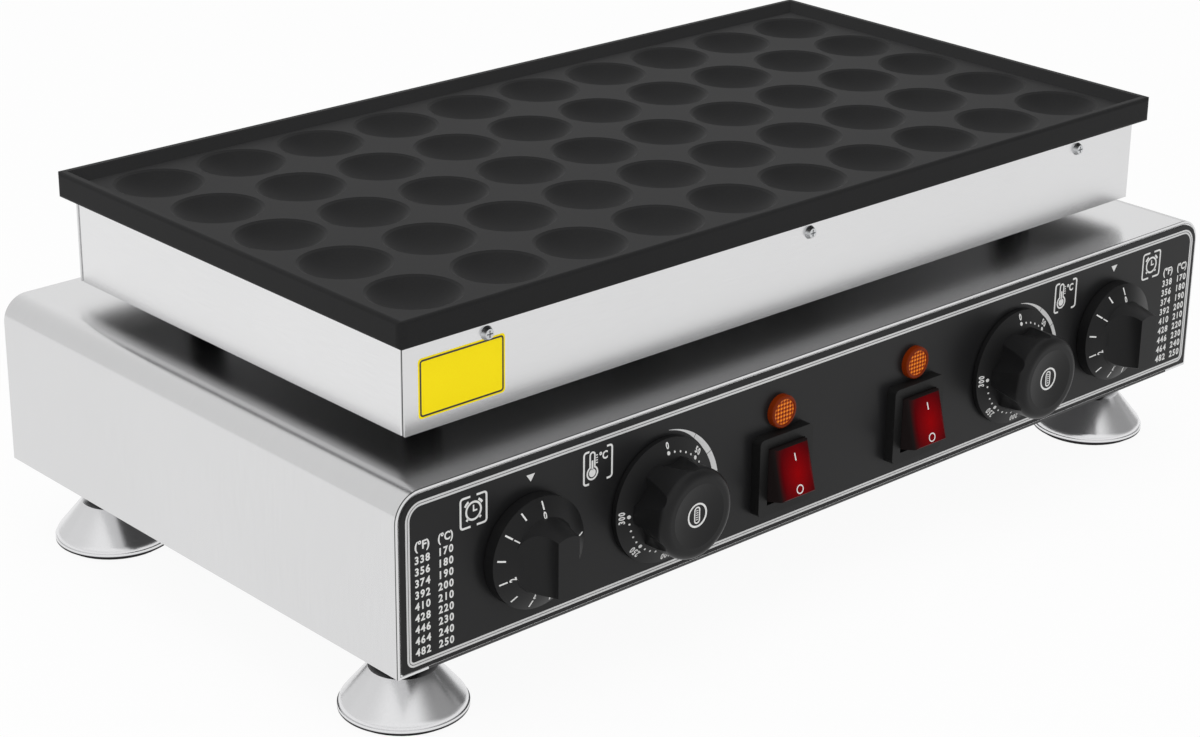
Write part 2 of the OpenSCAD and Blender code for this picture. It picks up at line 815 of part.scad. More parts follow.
module control_fascia() {
    inset = fascia_inset;
    color("#151516") difference() {
        translate([0, -base_d / 2, base_z + inset]) upright(fascia_t)
            arch_rect(base_w - 2 * inset, base_h - 2 * inset, base_r - inset);
        control_holes();
    }
}

module vent_group() {
    for (k = [0 : vent_count - 1])
        translate([0, (k - (vent_count - 1) / 2) * vent_pitch]) slot(vent_l, vent_w);
}

module rear_panel() {
    color("#bcbdbf") difference() {
        translate([0, base_d / 2, base_z]) rotate([90, 0, 180]) flanged_panel();
        translate([0, base_d / 2 + eps, base_z + base_h / 2]) upright(sheet_t + 2 * eps)
            for (s = [-1, 1])
                translate([s * base_w / 6, 0]) vent_group();
        on_rear(gland_x, gland_z) translate([0, 0, -sheet_t - eps])
            cylinder(r = gland_thread_d / 2 + slip, h = sheet_t + 2 * eps);
        cover_screw_cut(cover_screw[0] + slip / 4);
    }
}

module bottom_cover() {
    color("#a9aaad") difference() {
        translate([0, 0, base_z]) linear_extrude(sheet_t) difference() {
            square([base_w - 2 * (flange_w + slip), base_d], center = true);
            for (p = foot_places)
                translate(p) circle(foot_bolt[0] + slip);
            for (s = [-1, 1])
                translate([s * base_w / 6, 0]) vent_group();
        }
        cover_screw_cut(cover_screw[0] + slip);
    }
}

module cover_screws() {
    color("silver") cover_screw_places() pan_screw(cover_screw, cover_screw_l);
}

// Feet

// Half section of a foot: a rim, a round shoulder, a cone with a low top, and a neck.
module foot_section() {
    rim_r = foot_d / 2;
    shoulder_r = rim_r - foot_rim_w - foot_edge_r;
    shoulder_z = pad_out + foot_rim_h;
    translate([0, pad_out]) square([rim_r, foot_rim_h]);
    translate([shoulder_r, shoulder_z]) circle(foot_edge_r);
    polygon([[0, pad_out], [shoulder_r, pad_out], [shoulder_r, shoulder_z],
        [shoulder_r + foot_edge_r * cos(foot_edge_angle), shoulder_z + foot_edge_r * sin(foot_edge_angle)],
        [foot_top_d / 2, foot_cone_h], [foot_neck_d / 2, foot_cone_h + foot_top_rise],
        [foot_neck_d / 2, foot_h], [0, foot_h]]);
}

module foot(i) {
    color("#a3a4a6") translate([foot_places[i][0], foot_places[i][1], 0]) difference() {
        rotate_extrude() intersection() {
            foot_section();
            translate([0, pad_out]) square([foot_d, foot_h - pad_out]);
        }
        cylinder(r = pad_r + slip, h = pad_out + pad_seat);
        cylinder(r = foot_counterbore_r, h = foot_h - foot_web);
        cylinder(r = foot_bolt[0] + slip, h = foot_h + eps);
    }
}

module foot_pads() {
    color("#222222") for (p = foot_places)
        translate([p[0], p[1], 0])
            ring(pad_r, foot_counterbore_r, pad_out + pad_seat);
}

module foot_bolts() {
    head_z = foot_h - foot_web;
    color("#77787a") for (p = foot_places) {
        translate([p[0], p[1], head_z])
            hex_bolt(foot_bolt, foot_web + sheet_t + foot_nut_h + thread_end);
        translate([p[0], p[1], base_z + sheet_t])
            hex_nut(foot_bolt[1], foot_bolt[0] + run, foot_nut_h);
    }
}

// Timers and thermostats

// A control's case behind the panel, with a bush for its shaft through the fascia.
module control_case(w, h, l) {
    difference() {
        union() {
            translate([0, 0, panel_back - l]) linear_extrude(l) rounded_rect(w, h, case_corner_r);
            translate([0, 0, panel_back]) cylinder(r = bush_r, h = bush_out - panel_back);
            for (sx = [-1, 1], sy = [-1, 1])
                translate([sx * w / 4, sy * h / 3, panel_back - l - spade[2]])
                    linear_extrude(spade[2] + eps) square([spade[0], spade[1]], center = true);
        }
        translate([0, 0, shaft_root]) cylinder(r = shaft_r + run, h = bush_out - shaft_root + eps);
    }
}

module timer(s) {
    color("#d9d6cc") on_fascia(s * timer_x, timer_z)
        control_case(timer_body_w, timer_body_w, timer_body_l);
}

module thermostat(s) {
    color("#c9c5ba") on_fascia(s * thermostat_x, thermostat_z)
        control_case(thermostat_body_w, thermostat_body_h, thermostat_body_l);
}

// A round shaft with a flat along its front end.
module control_shaft() {
    difference() {
        translate([0, 0, shaft_root]) cylinder(r = shaft_r, h = shaft_tip - shaft_root);
        translate([-shaft_r, shaft_flat, flat_start]) cube([2 * shaft_r, shaft_r, shaft_tip]);
    }
}

// The blind hole in a knob for that shaft.
module shaft_socket() {
    fit = slip / 8;
    translate([0, 0, -eps]) cylinder(r = bush_r + 2 * clear, h = flat_start + eps);
    difference() {
        cylinder(r = shaft_r + fit, h = shaft_tip + fit);
        translate([-shaft_d, shaft_flat + fit, flat_start]) cube([2 * shaft_d, shaft_d, shaft_tip]);
    }
}

module timer_shaft(s) {
    color("#9d9ea1") on_fascia(s * timer_x, timer_z) control_shaft();
}

module thermostat_shaft(s) {
    color("#9d9ea1") on_fascia(s * thermostat_x, thermostat_z) control_shaft();
}

module control_nuts() {
    color("#8a8b8e") for (s = [-1, 1]) {
        on_fascia(s * timer_x, timer_z) hex_nut(nut_r, bush_r + run, nut_h);
        on_fascia(s * thermostat_x, thermostat_z) hex_nut(nut_r, bush_r + run, nut_h);
    }
}

// The hollow behind a knob's dial, which clears the nut and the bush.
module knob_hollow(dial_r) {
    translate([0, 0, -eps]) cylinder(r = dial_r - knob_wall, h = clear + knob_recess + eps);
    translate([0, 0, -eps]) cylinder(r = nut_r + knob_wall, h = nut_h + clear + eps);
}

// A shallow domed dial with an upright grip that flares into it on both sides.
module timer_knob(s) {
    dial_r = timer_dial_d / 2;
    color("#1d1d1e") on_fascia(s * timer_x, timer_z) difference() {
        union() {
            rotate_extrude() intersection() {
                translate([0, clear]) square([dial_r, timer_dome]);
                translate([0, timer_dome - timer_dome_r]) circle(timer_dome_r, $fn = 256);
            }
            difference() {
                translate([0, 0, timer_dial_edge])
                    cylinder(r1 = timer_root_l / 2, r2 = timer_grip_l / 2,
                        h = timer_knob_h - timer_dial_edge);
                for (sx = [-1, 1])
                    translate([sx * (timer_grip_w / 2 + timer_scoop_r), 0, timer_scoop_z]) {
                        rotate([90, 0, 0])
                            cylinder(r = timer_scoop_r, h = 2 * timer_dial_d, center = true, $fn = 128);
                        translate([0, 0, timer_knob_h / 2])
                            cube([2 * timer_scoop_r, 2 * timer_dial_d, timer_knob_h], center = true);
                    }
            }
        }
        knob_hollow(dial_r);
        shaft_socket();
    }
}

// Half section of a thermostat knob's grip, round at its front edge.
module grip_section() {
    front_r = thermostat_grip_d / 2;
    root_r = thermostat_root_d / 2;
    polygon([[0, clear], [root_r, clear], [root_r, thermostat_dial_rise],
        [front_r, thermostat_knob_h - grip_edge_r], [front_r - grip_edge_r, thermostat_knob_h],
        [0, thermostat_knob_h]]);
    translate([front_r - grip_edge_r, thermostat_knob_h - grip_edge_r]) circle(grip_edge_r);
}

// A conical dial with a round grip: finger scoops fade out towards its dished front.
module thermostat_knob(s) {
    dial_r = thermostat_dial_d / 2;
    root_r = thermostat_root_d / 2;
    color("#1d1d1e") on_fascia(s * thermostat_x, thermostat_z) difference() {
        union() {
            rotate_extrude() polygon([[0, clear], [dial_r, clear], [dial_r, thermostat_dial_edge],
                [root_r - scoop_depth, thermostat_dial_rise + dial_overlap],
                [0, thermostat_dial_rise + dial_overlap]]);
            difference() {
                rotate_extrude() grip_section();
                for (k = [0 : scoop_count - 1])
                    rotate([0, 0, (k + 0.5) * 360 / scoop_count])
                        translate([root_r + scoop_r - scoop_depth, 0, thermostat_dial_rise])
                            rotate([0, scoop_tilt, 0])
                                cylinder(r = scoop_r, h = 4 * thermostat_knob_h, center = true);
            }
        }
        translate([0, 0, thermostat_knob_h + dish_sphere_r - dish_depth])
            sphere(dish_sphere_r, $fn = 256);
        knob_hollow(dial_r);
        shaft_socket();
    }
}

// Switches

module switch(s) {
    color("#1a1a1b") on_fascia(s * switch_x, switch_z) difference() {
        union() {
            linear_extrude(switch_out) rounded_rect(switch_w, switch_h, switch_corner_r);
            translate([0, 0, -switch_body_l]) linear_extrude(switch_body_l + eps)
                square([switch_body_w, switch_body_h], center = true);
            for (k = [-1, 0, 1])
                translate([0, k * spade_pitch, -switch_body_l - spade[2]])
                    linear_extrude(spade[2] + eps) square([spade[0], spade[1]], center = true);
        }
        translate([0, 0, well_floor]) linear_extrude(switch_out - well_floor + eps)
            square([well_w, well_h], center = true);
        translate([0, 0, pivot_out]) rotate([0, 90, 0])
            cylinder(r = pin_r + slip / 8, h = pin_l + slip, center = true);
    }
}

// Section of a rocker along its face, which stands out at -x and bulges a little.
module rocker_section() {
    intersection() {
        translate([(rocker_back - rocker_rise) / 2, 0])
            rounded_rect(rocker_rise + rocker_back, rocker_l, rocker_edge_r);
        translate([bulge_r - rocker_rise, 0]) circle(bulge_r, $fn = 256);
    }
}

// A rocker on its pivot, at rest with its upper half pressed in. Its face is round on all sides.
module rocker(s) {
    color("#c4161c") on_fascia(s * switch_x, switch_z) translate([0, 0, pivot_out])
        rotate([-rocker_tilt, 0, 0]) rotate([0, 90, 0]) difference() {
            intersection() {
                translate([0, 0, -rocker_w / 2]) linear_extrude(rocker_w) rocker_section();
                translate([rocker_back, rocker_l / 2, 0]) rotate([90, -90, 0])
                    linear_extrude(rocker_l)
                        arch_rect(rocker_w, rocker_rise + rocker_back, rocker_side_r);
            }
            cylinder(r = pin_r + run, h = rocker_w + 2 * eps, center = true);
        }
}

module rocker_pins() {
    color("#9d9ea1") for (s = [-1, 1])
        on_fascia(s * switch_x, switch_z) translate([0, 0, pivot_out]) rotate([0, 90, 0])
            cylinder(r = pin_r, h = pin_l, center = true);
}

// Lamps

// A round lens with a level face inside a low rim.
module lamp_lens(s) {
    lens_r = lamp_d / 2;
    color("#e8890c") on_fascia(s * switch_x, lamp_z) rotate_extrude() difference() {
        union() {
            square([lens_r, lens_h - lens_edge_r]);
            square([lens_r - lens_edge_r, lens_h]);
            translate([lens_r - lens_edge_r, lens_h - lens_edge_r]) circle(lens_edge_r);
        }
        translate([0, lens_h - lens_recess]) square([lens_r - lens_rim_w, lens_recess + eps]);
    }
}

module lamp_body(s) {
    color("#e6e2d6") on_fascia(s * switch_x, lamp_z) translate([0, 0, -lamp_body_l])
        cylinder(r = lamp_body_r, h = lamp_body_l);
}

module lamp_nuts() {
    color("#3a3a3c") for (s = [-1, 1])
        on_fascia(s * switch_x, lamp_z) translate([0, 0, panel_back - lamp_nut_h])
            hex_nut(lamp_body_r + nut_wall, lamp_body_r + run, lamp_nut_h);
}

// Supply

module terminal_block() {
    color("#efe9da") translate([0, terminal_y, base_z + sheet_t]) difference() {
        translate([-terminal_w / 2, -terminal_d / 2, 0]) cube([terminal_w, terminal_d, terminal_h]);
        for (k = [-2 : 2])
            translate([k * terminal_pole, -terminal_d / 2 - eps, terminal_h / 2])
                rotate([-90, 0, 0]) cylinder(r = terminal_bore_r, h = terminal_d / 3);
    }
}

module cable_gland() {
    dome_l = gland_out - gland_hex_h;
    color("#2a2a2b") on_rear(gland_x, gland_z) difference() {
        union() {
            translate([0, 0, -gland_inner]) cylinder(r = gland_thread_d / 2, h = gland_inner + eps);
            cylinder(r = gland_hex_r, h = gland_hex_h, $fn = 6);
            translate([0, 0, gland_hex_h])
                cylinder(r1 = gland_hex_r - gland_step, r2 = cable_bore_d / 2 + gland_lip, h = dome_l);
        }
        translate([0, 0, -gland_inner - eps])
            cylinder(d = cable_bore_d, h = gland_inner + gland_out + 2 * eps);
    }
}

module gland_nut() {
    color("#2a2a2b") on_rear(gland_x, gland_z) translate([0, 0, -sheet_t - gland_nut_h])
        hex_nut(gland_hex_r, gland_thread_d / 2 + run, gland_nut_h);
}

// Nodes

placed() griddle_plate();
placed() plate_screws();
placed() apron_face(-1);  // apron_front
placed() apron_face(1);  // apron_rear
placed() apron_side(-1);  // apron_left
placed() apron_side(1);  // apron_right
placed() pan_bottom();
placed() insulation_mat();
placed() heating_element(-1);  // heating_element_left
placed() heating_element(1);  // heating_element_right
placed() clamp_bars();
placed() clamp_screws();
placed() probe(-1);  // probe_left
placed() probe(1);  // probe_right
placed() heater_leads();
placed() cable_conduit();
placed() post(0);  // post_front_left
placed() post(1);  // post_front_right
placed() post(2);  // post_rear_left
placed() post(3);  // post_rear_right
placed() post_bolts();
placed() base_shell();
placed() front_panel();
placed() control_fascia();
placed() rear_panel();
placed() bottom_cover();
placed() cover_screws();
placed() foot(0);  // foot_front_left
placed() foot(1);  // foot_front_right
placed() foot(2);  // foot_rear_left
placed() foot(3);  // foot_rear_right
placed() foot_pads();
placed() foot_bolts();
placed() timer(-1);  // timer_left
placed() timer(1);  // timer_right
placed() timer_shaft(-1);  // timer_shaft_left
placed() timer_shaft(1);  // timer_shaft_right
placed() timer_knob(-1);  // timer_knob_left
placed() timer_knob(1);  // timer_knob_right
placed() thermostat(-1);  // thermostat_left
placed() thermostat(1);  // thermostat_right
placed() thermostat_shaft(-1);  // thermostat_shaft_left
placed() thermostat_shaft(1);  // thermostat_shaft_right
placed() thermostat_knob(-1);  // thermostat_knob_left
placed() thermostat_knob(1);  // thermostat_knob_right
placed() control_nuts();
placed() switch(-1);  // switch_left
placed() switch(1);  // switch_right
placed() rocker(-1);  // rocker_left
placed() rocker(1);  // rocker_right
placed() rocker_pins();
placed() lamp_lens(-1);  // lamp_lens_left
placed() lamp_lens(1);  // lamp_lens_right
placed() lamp_body(-1);  // lamp_body_left
placed() lamp_body(1);  // lamp_body_right
placed() lamp_nuts();
placed() terminal_block();
placed() cable_gland();
placed() gland_nut();
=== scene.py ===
# %% [markdown]
# # A countertop muffin maker, dressed around its construction model
# The construction model gives every solid its true size and place: the cast plate with its
# wells, the steel apron, the base and the controls. This lesson adds what solids alone can't
# show: the finishes, the printing on the panel, the marks on the dials and the studio around
# them. The scene is in metres, in the construction model's own frame. The marks are drawn in
# millimetres and become metres when they are made into pieces.

# %% Load the construction model
import math

import bmesh
import bpy
import numpy as np
from mathutils import Matrix, Vector


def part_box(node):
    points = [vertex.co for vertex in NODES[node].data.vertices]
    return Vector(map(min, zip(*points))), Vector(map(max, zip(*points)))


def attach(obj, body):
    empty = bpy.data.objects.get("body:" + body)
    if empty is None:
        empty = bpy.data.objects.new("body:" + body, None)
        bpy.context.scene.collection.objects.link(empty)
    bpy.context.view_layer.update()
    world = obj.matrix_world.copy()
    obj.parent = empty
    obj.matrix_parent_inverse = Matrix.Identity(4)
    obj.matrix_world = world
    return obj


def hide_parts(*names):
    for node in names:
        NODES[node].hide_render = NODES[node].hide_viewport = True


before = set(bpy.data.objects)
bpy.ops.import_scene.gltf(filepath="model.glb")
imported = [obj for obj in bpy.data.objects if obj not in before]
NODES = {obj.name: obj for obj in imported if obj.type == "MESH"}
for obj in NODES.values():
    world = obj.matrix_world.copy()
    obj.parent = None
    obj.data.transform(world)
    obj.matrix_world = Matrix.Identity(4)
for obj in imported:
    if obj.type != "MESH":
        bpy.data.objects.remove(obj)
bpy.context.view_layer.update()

SIDES = (("left", -1), ("right", 1))
scene = bpy.context.scene

# %% [markdown]
# ## Camera
# The photograph looks down on the front left corner through a long lens. The camera was fitted
# to the corners of the plate and the base, so its place, its three axes and its focal length
# are given as plain numbers.

# %% Camera
CAMERA_PLACE = (-0.9905, -1.0567, 0.6588)
CAMERA_RIGHT = (0.74013, -0.67238, 0.01057)
CAMERA_UP = (0.24671, 0.28612, 0.92589)
CAMERA_BACK = (-0.62557, -0.68267, 0.37765)
SENSOR_MM, FOCAL_MM = 36, 83.75

lens = bpy.data.cameras.new("camera")
lens.sensor_fit = "HORIZONTAL"
lens.sensor_width = SENSOR_MM
lens.lens = FOCAL_MM
camera = bpy.data.objects.new("camera", lens)
scene.collection.objects.link(camera)
axes = Matrix((CAMERA_RIGHT, CAMERA_UP, CAMERA_BACK)).transposed().to_4x4()
camera.matrix_world = Matrix.Translation(CAMERA_PLACE) @ axes
scene.camera = camera
scene.view_settings.view_transform = "Standard"
print("camera at", CAMERA_PLACE, "lens", lens.lens, "mm")

# %% [markdown]
# ## Node helpers
# A finish is a small graph of nodes. One helper adds a node and fills its sockets by name: a
# number or colour is written on the socket, and another node's output is linked to it. The
# others are steps that come up again and again, such as a ramp of colours or one sum.


# %% Node helpers
def feed(tree, socket, value):
    """Links another node's output to a socket, or writes a plain value on it."""
    if isinstance(value, bpy.types.NodeSocket):
        tree.links.new(value, socket)
    else:
        socket.default_value = value


def add(tree, kind, **sockets):
    """Adds a node of a kind. A key names an input socket, with _ for a space."""
    made = tree.nodes.new("ShaderNode" + kind)
    for key, value in sockets.items():
        feed(tree, made.inputs[key.replace("_", " ")], value)
    return made


def calculate(tree, operation, *values):
    """One arithmetic step on values or sockets."""
    made = add(tree, "Math")
    made.operation = operation
    for socket, value in zip(made.inputs, values):
        feed(tree, socket, value)
    return made.outputs[0]


def carried(tree, value, start, end, low=0.0, high=1.0):
    """Carries a value from start..end to low..high and holds it between these two."""
    made = add(tree, "MapRange", Value=value, From_Min=start, From_Max=end, To_Min=low, To_Max=high)
    return made.outputs["Result"]


def shades(tree, factor, *stops):
    """A colour ramp from (place, colour) stops, driven by a factor from 0 to 1."""
    made = add(tree, "ValToRGB", Fac=factor)
    ramp = made.color_ramp
    while len(ramp.elements) < len(stops):
        ramp.elements.new(0.5)
    for element, (place, colour) in zip(ramp.elements, stops):
        element.position = place
        element.color = (*colour, 1)
    return made.outputs["Color"]


def mixed_shader(tree, share, first, second):
    """Two shaders as one: a share of the second, and the first for the rest."""
    made = add(tree, "MixShader", Fac=share)
    tree.links.new(first.outputs[0], made.inputs[1])
    tree.links.new(second.outputs[0], made.inputs[2])
    return made.outputs[0]


# %% Coordinate helpers
def split(tree, coordinates):
    """The sockets X, Y and Z of one of the texture coordinates."""
    return add(tree, "SeparateXYZ", Vector=add(tree, "TexCoord").outputs[coordinates]).outputs


def body_place(tree, scale=(1, 1, 1), centre=(0, 0, 0)):
    """Object coordinates p carried to (p - centre) * scale, one scale for each axis."""
    place = add(tree, "TexCoord").outputs["Object"]
    offset = [-c * s for c, s in zip(centre, scale)]
    return add(tree, "Mapping", Vector=place, Scale=scale, Location=offset).outputs["Vector"]


# %% [markdown]
# ## Studio
# The object stands on a pale floor under soft light from above, from the left and from the front.
# The floor and the sky are plain white to the camera and in reflections, while the light that they
# give stays at a level where colours come out as they are written. A share of the floor is an
# ordinary matt surface, so the soft shadow under the feet stays. In reflections the sky has a dark
# stretch to the right, a faint one at the back left and two small low ones, as a photographer's
# flags give polished metal its dark sides, and it turns a little grey towards the horizon, which
# draws a line along the folds.

# %% Sky
WHITE = (1, 1, 1, 1)
SKY_LIGHT = 0.62
# Each flag: its direction, where its edge starts and ends on the cosine, how much it takes away
FLAGS = (((0.66, -0.46, 0.59), 0.68, 0.92, 0.66),
         ((-0.5, 0.71, 0.5), 0.6, 0.9, 0.18),
         ((-0.25, 0.95, 0.2), 0.86, 0.97, 0.22),
         ((0.98, 0.09, 0.17), 0.86, 0.97, 0.6))
HORIZON_REACH, HORIZON_DARK = 0.26, 0.25


def seen_directly(tree):
    """1 for rays from the camera, from a gloss or through glass, and 0 for the rest."""
    path = add(tree, "LightPath").outputs
    first = calculate(tree, "MAXIMUM", path["Is Camera Ray"], path["Is Glossy Ray"])
    return calculate(tree, "MAXIMUM", first, path["Is Transmission Ray"])


world = bpy.data.worlds.new("studio")
scene.world = world
world.use_nodes = True
sky = world.node_tree
sky.nodes.clear()
view = add(sky, "TexCoord").outputs["Generated"]
height = add(sky, "SeparateXYZ", Vector=view).outputs["Z"]
dark = carried(sky, height, HORIZON_REACH, 0.0, high=HORIZON_DARK)
for way, start, end, taken in FLAGS:
    towards = add(sky, "VectorMath", Vector=view)
    towards.operation = "DOT_PRODUCT"
    towards.inputs[1].default_value = way
    dark = calculate(sky, "MAXIMUM", dark, carried(sky, towards.outputs["Value"], start, end, high=taken))
shade = calculate(sky, "MULTIPLY", add(sky, "LightPath").outputs["Is Glossy Ray"], dark)
light = add(sky, "Background", Color=WHITE, Strength=SKY_LIGHT)
white = add(sky, "Background", Color=WHITE, Strength=calculate(sky, "SUBTRACT", 1.0, shade))
add(sky, "OutputWorld", Surface=mixed_shader(sky, seen_directly(sky), light, white))
print("sky with", len(FLAGS), "flags")

# %% Floor
FLOOR_REACH = 6.0
FLOOR_MATT = (0.86, 0.86, 0.86, 1)
FLOOR_GLOW = 0.94

floor_finish = bpy.data.materials.new("pale_floor")
floor_finish.use_nodes = True
tree = floor_finish.node_tree
tree.nodes.clear()
matt = add(tree, "BsdfDiffuse", Color=FLOOR_MATT)
glow = add(tree, "Emission", Color=WHITE, Strength=1.0)
share = calculate(tree, "MULTIPLY", seen_directly(tree), FLOOR_GLOW)
add(tree, "OutputMaterial", Surface=mixed_shader(tree, share, matt, glow))

corners = np.array([[-1, -1, 0], [1, -1, 0], [1, 1, 0], [-1, 1, 0]]) * FLOOR_REACH
floor_mesh = bpy.data.meshes.new("floor")
floor_mesh.from_pydata(corners.tolist(), [], [[0, 1, 2, 3]])
floor_mesh.materials.append(floor_finish)
floor = bpy.data.objects.new("floor", floor_mesh)
scene.collection.objects.link(floor)
print("floor", 2 * FLOOR_REACH, "m wide")

# %% Soft lamps
LAMP_TARGET = (0, 0, 0.15)
# Each lamp: its name, its place, its width and its power
SOFTBOXES = (("overhead", (-0.3, -0.2, 2.2), 1.8, 14),
             ("left", (-2.2, -0.6, 1.2), 1.4, 10),
             ("front", (0.9, -2.3, 1.3), 1.4, 8))
for name, place, width, power in SOFTBOXES:
    lamp = bpy.data.lights.new(name, "AREA")
    lamp.shape = "SQUARE"
    lamp.size = width
    lamp.energy = power
    holder = bpy.data.objects.new(name, lamp)
    scene.collection.objects.link(holder)
    holder.location = place
    aim = Vector(LAMP_TARGET) - holder.location
    holder.rotation_euler = aim.to_track_quat("-Z", "Y").to_euler()
    holder.visible_glossy = False
    print("lamp", name, power, "W")

# %% [markdown]
# ## Finishes
# Almost every real surface has a fine grain: the brushing of steel, the pebbling of a baked
# coat, the texture of a moulding tool. One recipe covers them. A noise field over the object's
# own coordinates, stretched along one axis where the grain has a direction, moves the colour,
# the gloss and a very shallow relief together. A second, much wider noise clouds colour and gloss.

# %% The grained finish
GRAIN_SHARE, GRAIN_DETAIL, GRAIN_STRENGTH = 0.6, 3.0, 0.5
CLOUD_SHARE, CLOUD_DETAIL, CLOUD_SCALE = 0.4, 2.0, 9.0
TONE_LOW, TONE_HIGH = 0.3, 0.7


def opened(finish):
    """A finish's graph and its shader."""
    return finish.node_tree, finish.node_tree.nodes["Principled BSDF"]


def grained(name, colour, tint, size, rough, relief, metallic=0.0, stretch=(1, 1, 1), **sockets):
    """A finish whose grain of `size` mm comes from a noise n(p):
    colour * (1 - tint .. 1 + tint), roughness rough[0] .. rough[1], height n * relief mm."""
    finish = bpy.data.materials.new(name)
    finish.use_nodes = True
    tree, shader = opened(finish)
    for key, value in sockets.items():
        shader.inputs[key.replace("_", " ")].default_value = value
    shader.inputs["Metallic"].default_value = metallic
    grain = add(tree, "TexNoise", Vector=body_place(tree, stretch), Scale=1000 / size, Detail=GRAIN_DETAIL)
    cloud = add(tree, "TexNoise", Vector=body_place(tree), Scale=CLOUD_SCALE, Detail=CLOUD_DETAIL)
    mixed = calculate(tree, "ADD", calculate(tree, "MULTIPLY", grain.outputs["Fac"], GRAIN_SHARE),
                      calculate(tree, "MULTIPLY", cloud.outputs["Fac"], CLOUD_SHARE))
    base = np.array(colour)
    tone = shades(tree, mixed, (TONE_LOW, base * (1 - tint)), (TONE_HIGH, np.minimum(base * (1 + tint), 1)))
    bump = add(tree, "Bump", Height=grain.outputs["Fac"], Distance=relief / 1000, Strength=GRAIN_STRENGTH)
    tree.links.new(tone, shader.inputs["Base Color"])
    tree.links.new(carried(tree, mixed, 0.0, 1.0, *rough), shader.inputs["Roughness"])
    tree.links.new(bump.outputs["Normal"], shader.inputs["Normal"])
    return finish


def coat(finish, *names):
    """Puts a finish on construction nodes."""
    for name in names:
        mesh = NODES[name].data
        mesh.materials.clear()
        mesh.materials.append(finish)
    print(finish.name, "on", len(names))


# %% Changes to a finish
def blend_along(finish, axis, start, end, colour):
    """Blends a finish's colour into another one between two places on an axis, in metres."""
    tree, shader = opened(finish)
    base = shader.inputs["Base Color"]
    share = carried(tree, split(tree, "Object")[axis], start, end)
    mixed = add(tree, "MixRGB", Fac=share, Color1=base.links[0].from_socket, Color2=(*colour, 1))
    tree.links.new(mixed.outputs["Color"], base)


def brushed(finish, across, amount):
    """Gives a finish's gloss its wide side along a direction, across the brushing."""
    tree, shader = opened(finish)
    shader.inputs["Anisotropic"].default_value = amount
    side = add(tree, "CombineXYZ", X=across[0], Y=across[1], Z=across[2])
    tree.links.new(side.outputs["Vector"], shader.inputs["Tangent"])


def glowing(finish, tone):
    """Lets one tone drive a finish's colour and its own light."""
    tree, shader = opened(finish)
    tree.links.new(tone, shader.inputs["Base Color"])
    tree.links.new(tone, shader.inputs["Emission Color"])


# %% [markdown]
# ### Steel
# The base and the apron are satin stainless sheet, brushed along each sheet's length. The base's
# sheet runs over its two folds, and its brushing does too, so its gloss is widest from front to
# back: it mirrors the pan's underside with sharp sides and a soft front. Painted streaks would
# look fixed, while a gloss with a wide and a narrow side moves with the light. The apron's side
# sheets are a lighter copy of the steel, painted lighter than its front, and where they fold in
# behind the front sheet the seam gets painted shade. A fine dark line runs round the base just
# behind its front lip. Screws and bolts are plainer zinc-plated steel, the bottom cover is dark
# sheet that stands for painted shade under the base, which the feet mirror, the posts are
# blackened, and the pan's bottom is a darker, duller steel.

# %% Sheet steel
ALONG_X, ALONG_Y, OVER_FOLDS = (0.03, 1, 1), (1, 0.03, 1), (0.03, 1, 0.03)
# Painted light: the second colour is a lighter copy of the same steel for the apron's side sheets
STEEL, SIDE_STEEL_PAINTED_LIGHTER = (0.715, 0.715, 0.72), (0.77, 0.77, 0.775)
base_steel = grained("satin_steel_base", STEEL, tint=0.03, size=0.5, rough=(0.2, 0.28), relief=0.003,
                     metallic=1.0, stretch=OVER_FOLDS)
steel_x = grained("satin_steel_x", STEEL, tint=0.03, size=0.5, rough=(0.2, 0.3), relief=0.006,
                  metallic=1.0, stretch=ALONG_X)
seam_shaded = grained("satin_steel_seam_shaded", SIDE_STEEL_PAINTED_LIGHTER, tint=0.03, size=0.5, rough=(0.15, 0.24), relief=0.006,
                 metallic=1.0, stretch=ALONG_Y)

# A little aslant, so that no face looks straight along it
FRONT_TO_BACK, BRUSHING = (0.03, 1, 0.06), 0.8
brushed(base_steel, FRONT_TO_BACK, BRUSHING)

# Painted shade: the side sheets darken to near black in the fold groove behind the front sheet
SEAM_START, SEAM_END, SEAM_PAINTED_SHADE = 0.0016, 0.0009, (0.03, 0.03, 0.032)
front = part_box("apron_left")[0].y
blend_along(seam_shaded, "Y", front + SEAM_START, front + SEAM_END, SEAM_PAINTED_SHADE)

LINE_START, LINE_END, LINE_DARK = 0.0011, 0.0008, (0.1, 0.1, 0.1)
LIP_START, LIP_END = 0.0003, 0.0001
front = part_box("base_shell")[0].y
blend_along(base_steel, "Y", front + LINE_START, front + LINE_END, LINE_DARK)
blend_along(base_steel, "Y", front + LIP_START, front + LIP_END, STEEL)

coat(base_steel, "base_shell")
coat(seam_shaded, "apron_left", "apron_right")
coat(steel_x, "apron_front", "apron_rear", "front_panel", "rear_panel")

# %% Plainer steel
zinc = grained("zinc_steel", (0.6, 0.61, 0.62), tint=0.08, size=0.4, rough=(0.28, 0.42), relief=0.01,
               metallic=1.0)
# The pan's bottom: a darker, duller steel than the sheets around it
darker_pan_steel = grained("darker_pan_sheet", (0.4, 0.4, 0.405), tint=0.2, size=0.8, rough=(0.4, 0.6),
                    relief=0.01, metallic=1.0)
blackened = grained("blackened_steel", (0.03, 0.03, 0.031), tint=0.2, size=0.5, rough=(0.45, 0.6),
                    relief=0.008, metallic=1.0)
